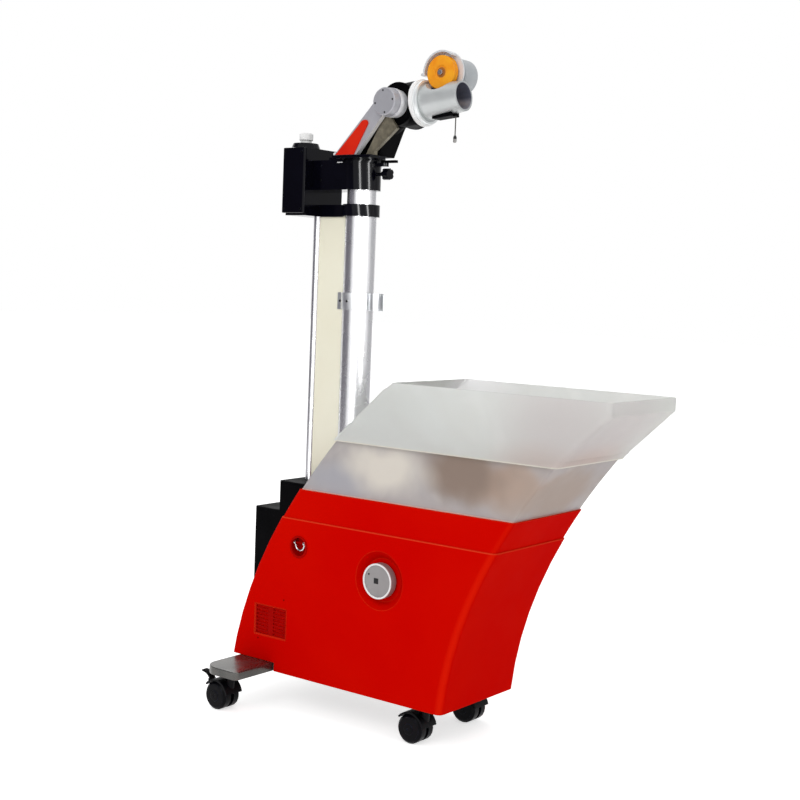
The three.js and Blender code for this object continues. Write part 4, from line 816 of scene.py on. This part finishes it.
# A mesh from a bmesh, finished as one piece of the machine
def piece(name, shape, material, body):
    bmesh.ops.recalc_face_normals(shape, faces=shape.faces)
    mesh = bpy.data.meshes.new(name)
    shape.to_mesh(mesh)
    shape.free()
    mesh.materials.append(material)
    obj = link(bpy.data.objects.new(name, mesh))
    smooth(obj)
    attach(obj, body)


# Turns a profile round an axis through a centre, with its distances along the direction
def add_turned(shape, profile, centre, direction, sides):
    turn = Vector((0, 0, 1)).rotation_difference(Vector(direction)).to_matrix()
    rings = []
    for radius, along in profile:
        ring = []
        for i in range(sides):
            angle = 2 * math.pi * i / sides
            local = Vector((radius * math.cos(angle), radius * math.sin(angle), along))
            ring.append(shape.verts.new(turn @ local + Vector(centre)))
        rings.append(ring)
    for low, high in zip(rings, rings[1:]):
        for i in range(sides):
            j = (i + 1) % sides
            shape.faces.new((low[i], low[j], high[j], high[i]))
    shape.faces.new(rings[0])
    shape.faces.new(rings[-1])


# A screw head with a chamfered edge and a six-sided recess, standing out along the direction
def add_screw(shape, centre, direction, radius, rise):
    chamfer = radius * SCREW_CHAMFER
    shoulder = rise - chamfer * CHAMFER_DROP
    mouth = radius * RECESS_MOUTH
    head = ((radius, 0), (radius, shoulder), (radius - chamfer, rise), (mouth, rise))
    recess = ((mouth, rise), (radius * RECESS_FOOT, rise * RECESS_FLOOR))
    add_turned(shape, head, centre, direction, SCREW_SIDES)
    add_turned(shape, recess, centre, direction, RECESS_SIDES)


def add_box(shape, low, high):
    made = bmesh.ops.create_cube(shape, size=1.0)
    for vert in made["verts"]:
        for axis in range(3):
            share = vert.co[axis] + 0.5
            vert.co[axis] = low[axis] + share * (high[axis] - low[axis])
    return made["verts"]


def add_rounded_box(shape, low, high, radius):
    verts = add_box(shape, low, high)
    edges = {edge for vert in verts for edge in vert.link_edges}
    bmesh.ops.bevel(shape, geom=list(edges), offset=radius, segments=2, profile=0.5, affect="EDGES")


# Four places (x, z) evenly spread on a circle
def four_on_circle(centre, radius, start):
    x, z = centre
    angles = [start + math.pi * i / 2 for i in range(4)]
    return [(x + radius * math.cos(angle), z + radius * math.sin(angle)) for angle in angles]


def add_dial_marks(looks):
    x, z = DIAL_CENTRE
    half = DIAL_MARK_SIZE / 2
    shape = bmesh.new()
    low = (x - half - DIAL_MARK_SHIFT, DIAL_FACE - DIAL_MARK_RISE, z - half)
    high = (x + half - DIAL_MARK_SHIFT, DIAL_FACE + DIAL_MARK_SINK, z + half)
    add_rounded_box(shape, low, high, DIAL_MARK_ROUND)
    piece("dial_mark", shape, looks["ink"], "dial")
    shape = bmesh.new()
    dot = (x + DIAL_DOT_PLACE[0], DIAL_FACE + DIAL_DOT_SINK, z + DIAL_DOT_PLACE[1])
    add_turned(shape, DIAL_DOT_PROFILE, dot, (0, -1, 0), DIAL_DOT_SIDES)
    piece("dial_dot", shape, looks["ink"], "dial")


def add_cap_screws(looks):
    shape = bmesh.new()
    for x, z in four_on_circle(PIVOT, CAP_SCREW_CIRCLE, CAP_SCREW_TURN):
        add_screw(shape, (x, CAP_FACE + CAP_SCREW_DEPTH, z), (0, -1, 0), *CAP_SCREW)
    piece("cap_screws", shape, looks["ink"], "head_base")


def add_bracket_details(looks):
    shape = bmesh.new()
    for x, z in BRACKET_SCREWS:
        add_screw(shape, (x, BRACKET_FACE, z), (0, -1, 0), *BRACKET_SCREW)
    piece("bracket_screws", shape, looks["tyre_black"], "machine")
    shape = bmesh.new()
    add_rounded_box(shape, *BRACKET_MARK, BRACKET_MARK_ROUND)
    piece("bracket_mark", shape, looks["white_plastic"], "machine")


def add_vent_gauze(looks):
    shape = bmesh.new()
    low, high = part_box("vent_grille")
    back = high.y + GAUZE_GAP
    middle = back + GAUZE_WIRE
    front = back + 2 * GAUZE_WIRE
    columns = int((high.x - low.x) / GAUZE_PITCH)
    rows = int((high.z - low.z) / GAUZE_PITCH)
    for i in range(columns):
        x = low.x + (i + 0.5) * GAUZE_PITCH
        add_box(shape, (x, back, low.z), (x + GAUZE_WIRE, middle, high.z))
    for i in range(rows):
        z = low.z + (i + 0.5) * GAUZE_PITCH
        add_box(shape, (low.x, middle, z), (high.x, front, z + GAUZE_WIRE))
    piece("vent_gauze", shape, looks["gauze_red_painted_light"], "machine")


# Raised rims and hub caps on both sides of each caster's wheels
def add_wheel_hubs(looks):
    for corner, (x, y) in CASTERS.items():
        shape = bmesh.new()
        for outward in (-1, 1):
            centre = (x, y + outward * CASTER_WHEEL_HALF, CASTER_WHEEL_RADIUS)
            add_turned(shape, CASTER_HUB_PROFILE, centre, (0, outward, 0), CASTER_HUB_SIDES)
        piece("wheel_hubs_" + corner, shape, looks["tyre_black"], "wheels_" + corner)


def add_housing_screws(looks):
    shape = bmesh.new()
    for x, z in GEARBOX_SCREWS:
        for outward in (-1, 1):
            add_screw(shape, (x, outward * GEARBOX_SIDE, z), (0, outward, 0), *GEARBOX_SCREW)
    for y, z in CONTROL_SCREWS:
        add_screw(shape, (CONTROL_REAR, y, z), (-1, 0, 0), *CONTROL_SCREW)
    piece("housing_screws", shape, looks["tyre_black"], "machine")
    shape = bmesh.new()
    for x, z in SHELL_SCREWS:
        add_screw(shape, (x, PANEL_Y, z), (0, -1, 0), *SHELL_SCREW)
    piece("shell_screws", shape, looks["vent_red"], "machine")


def add_motor_end(looks):
    x, z = WHEEL_CENTRE
    shape = bmesh.new()
    add_turned(shape, MOTOR_BOSS_PROFILE, (x, MOTOR_END, z), (0, 1, 0), MOTOR_BOSS_SIDES)
    piece("motor_boss", shape, looks["motor_grey"], "head")
    shape = bmesh.new()
    for x, z in four_on_circle(WHEEL_CENTRE, MOTOR_SCREW_CIRCLE, math.pi / 4):
        add_screw(shape, (x, MOTOR_END, z), (0, 1, 0), *MOTOR_SCREW)
    piece("motor_screws", shape, looks["steel"], "head")


# 1 for what the camera sees, straight, mirrored or through clear plastic
def seen_share(tree):
    path = add(tree, "ShaderNodeLightPath").outputs
    seen = math_node(tree, "MAXIMUM", path["Is Camera Ray"], path["Is Glossy Ray"])
    return math_node(tree, "MAXIMUM", seen, path["Is Transmission Ray"])


def add_world():
    world = bpy.data.worlds.new("studio")
    bpy.context.scene.world = world
    world.use_nodes = True
    tree = world.node_tree
    sky = tree.nodes["Background"]
    sky.inputs["Color"].default_value = WHITE
    strength = remap(tree, seen_share(tree), 0.0, 1.0, WORLD_STRENGTH, 1.0)
    tree.links.new(strength, sky.inputs["Strength"])


def add_floor():
    bpy.ops.mesh.primitive_plane_add(size=FLOOR_SIDE)
    floor = bpy.context.object
    floor.name = "floor"
    material, tree, shader = new_material("floor")
    shader.inputs["Base Color"].default_value = FLOOR_COLOUR
    shader.inputs["Roughness"].default_value = FLOOR_ROUGHNESS
    shader.inputs["Specular IOR Level"].default_value = 0
    shader.inputs["Emission Color"].default_value = WHITE
    glow = times(tree, seen_share(tree), FLOOR_GLOW)
    tree.links.new(glow, shader.inputs["Emission Strength"])
    floor.data.materials.append(material)


def turn_to(obj, place, aim):
    obj.location = place
    obj.rotation_euler = (Vector(aim) - Vector(place)).to_track_quat("-Z", "Y").to_euler()


def add_lamp(name, place, size, power):
    data = bpy.data.lights.new(name, "AREA")
    data.shape = "DISK"
    data.size = size
    data.energy = power
    turn_to(link(bpy.data.objects.new(name, data)), place, LAMP_AIM)


# A tall narrow lamp that draws an upright highlight on the lit pieces and does nothing else
def add_strip(name, place, lit):
    data = bpy.data.lights.new(name, "AREA")
    data.shape = "RECTANGLE"
    data.size = STRIP_WIDTH
    data.size_y = STRIP_HEIGHT
    data.energy = STRIP_POWER
    lamp = link(bpy.data.objects.new(name, data))
    lamp.light_linking.receiver_collection = lit
    lamp.visible_diffuse = False
    turn_to(lamp, place, STRIP_AIM)


# A card that only reflections see, so that the tubes show a darker side as in a studio
def add_card(name, place, glow):
    half = CARD_SIDE / 2
    corners = ((-half, -half, 0), (half, -half, 0), (half, half, 0), (-half, half, 0))
    mesh = bpy.data.meshes.new(name)
    mesh.from_pydata(corners, [], [(0, 1, 2, 3)])
    card = link(bpy.data.objects.new(name, mesh))
    turn_to(card, place, (MAST_X, 0, place[2]))
    material, tree, shader = new_material(name)
    shader.inputs["Base Color"].default_value = BLACK
    shader.inputs["Specular IOR Level"].default_value = 0
    shader.inputs["Emission Color"].default_value = glow
    shader.inputs["Emission Strength"].default_value = 1
    mesh.materials.append(material)
    card.visible_camera = False
    card.visible_diffuse = False
    card.visible_transmission = False
    card.visible_shadow = False


def add_studio():
    add_world()
    add_floor()
    for name, place, size, power in LAMPS:
        add_lamp(name, place, size, power)
    lit = bpy.data.collections.new("strip_lit")
    for name in STRIP_LIT:
        lit.objects.link(nodes[name])
    for name, place in STRIPS:
        add_strip(name, place, lit)
    for name, place, glow in CARDS:
        add_card(name, place, glow)
    bpy.context.scene.view_settings.view_transform = "Standard"


add_camera()
add_smoothing_group()
looks = make_looks()
add_lead(looks)
dress_nodes(looks)
add_dial_marks(looks)
add_cap_screws(looks)
add_bracket_details(looks)
add_vent_gauze(looks)
add_wheel_hubs(looks)
add_housing_screws(looks)
add_motor_end(looks)
add_studio()
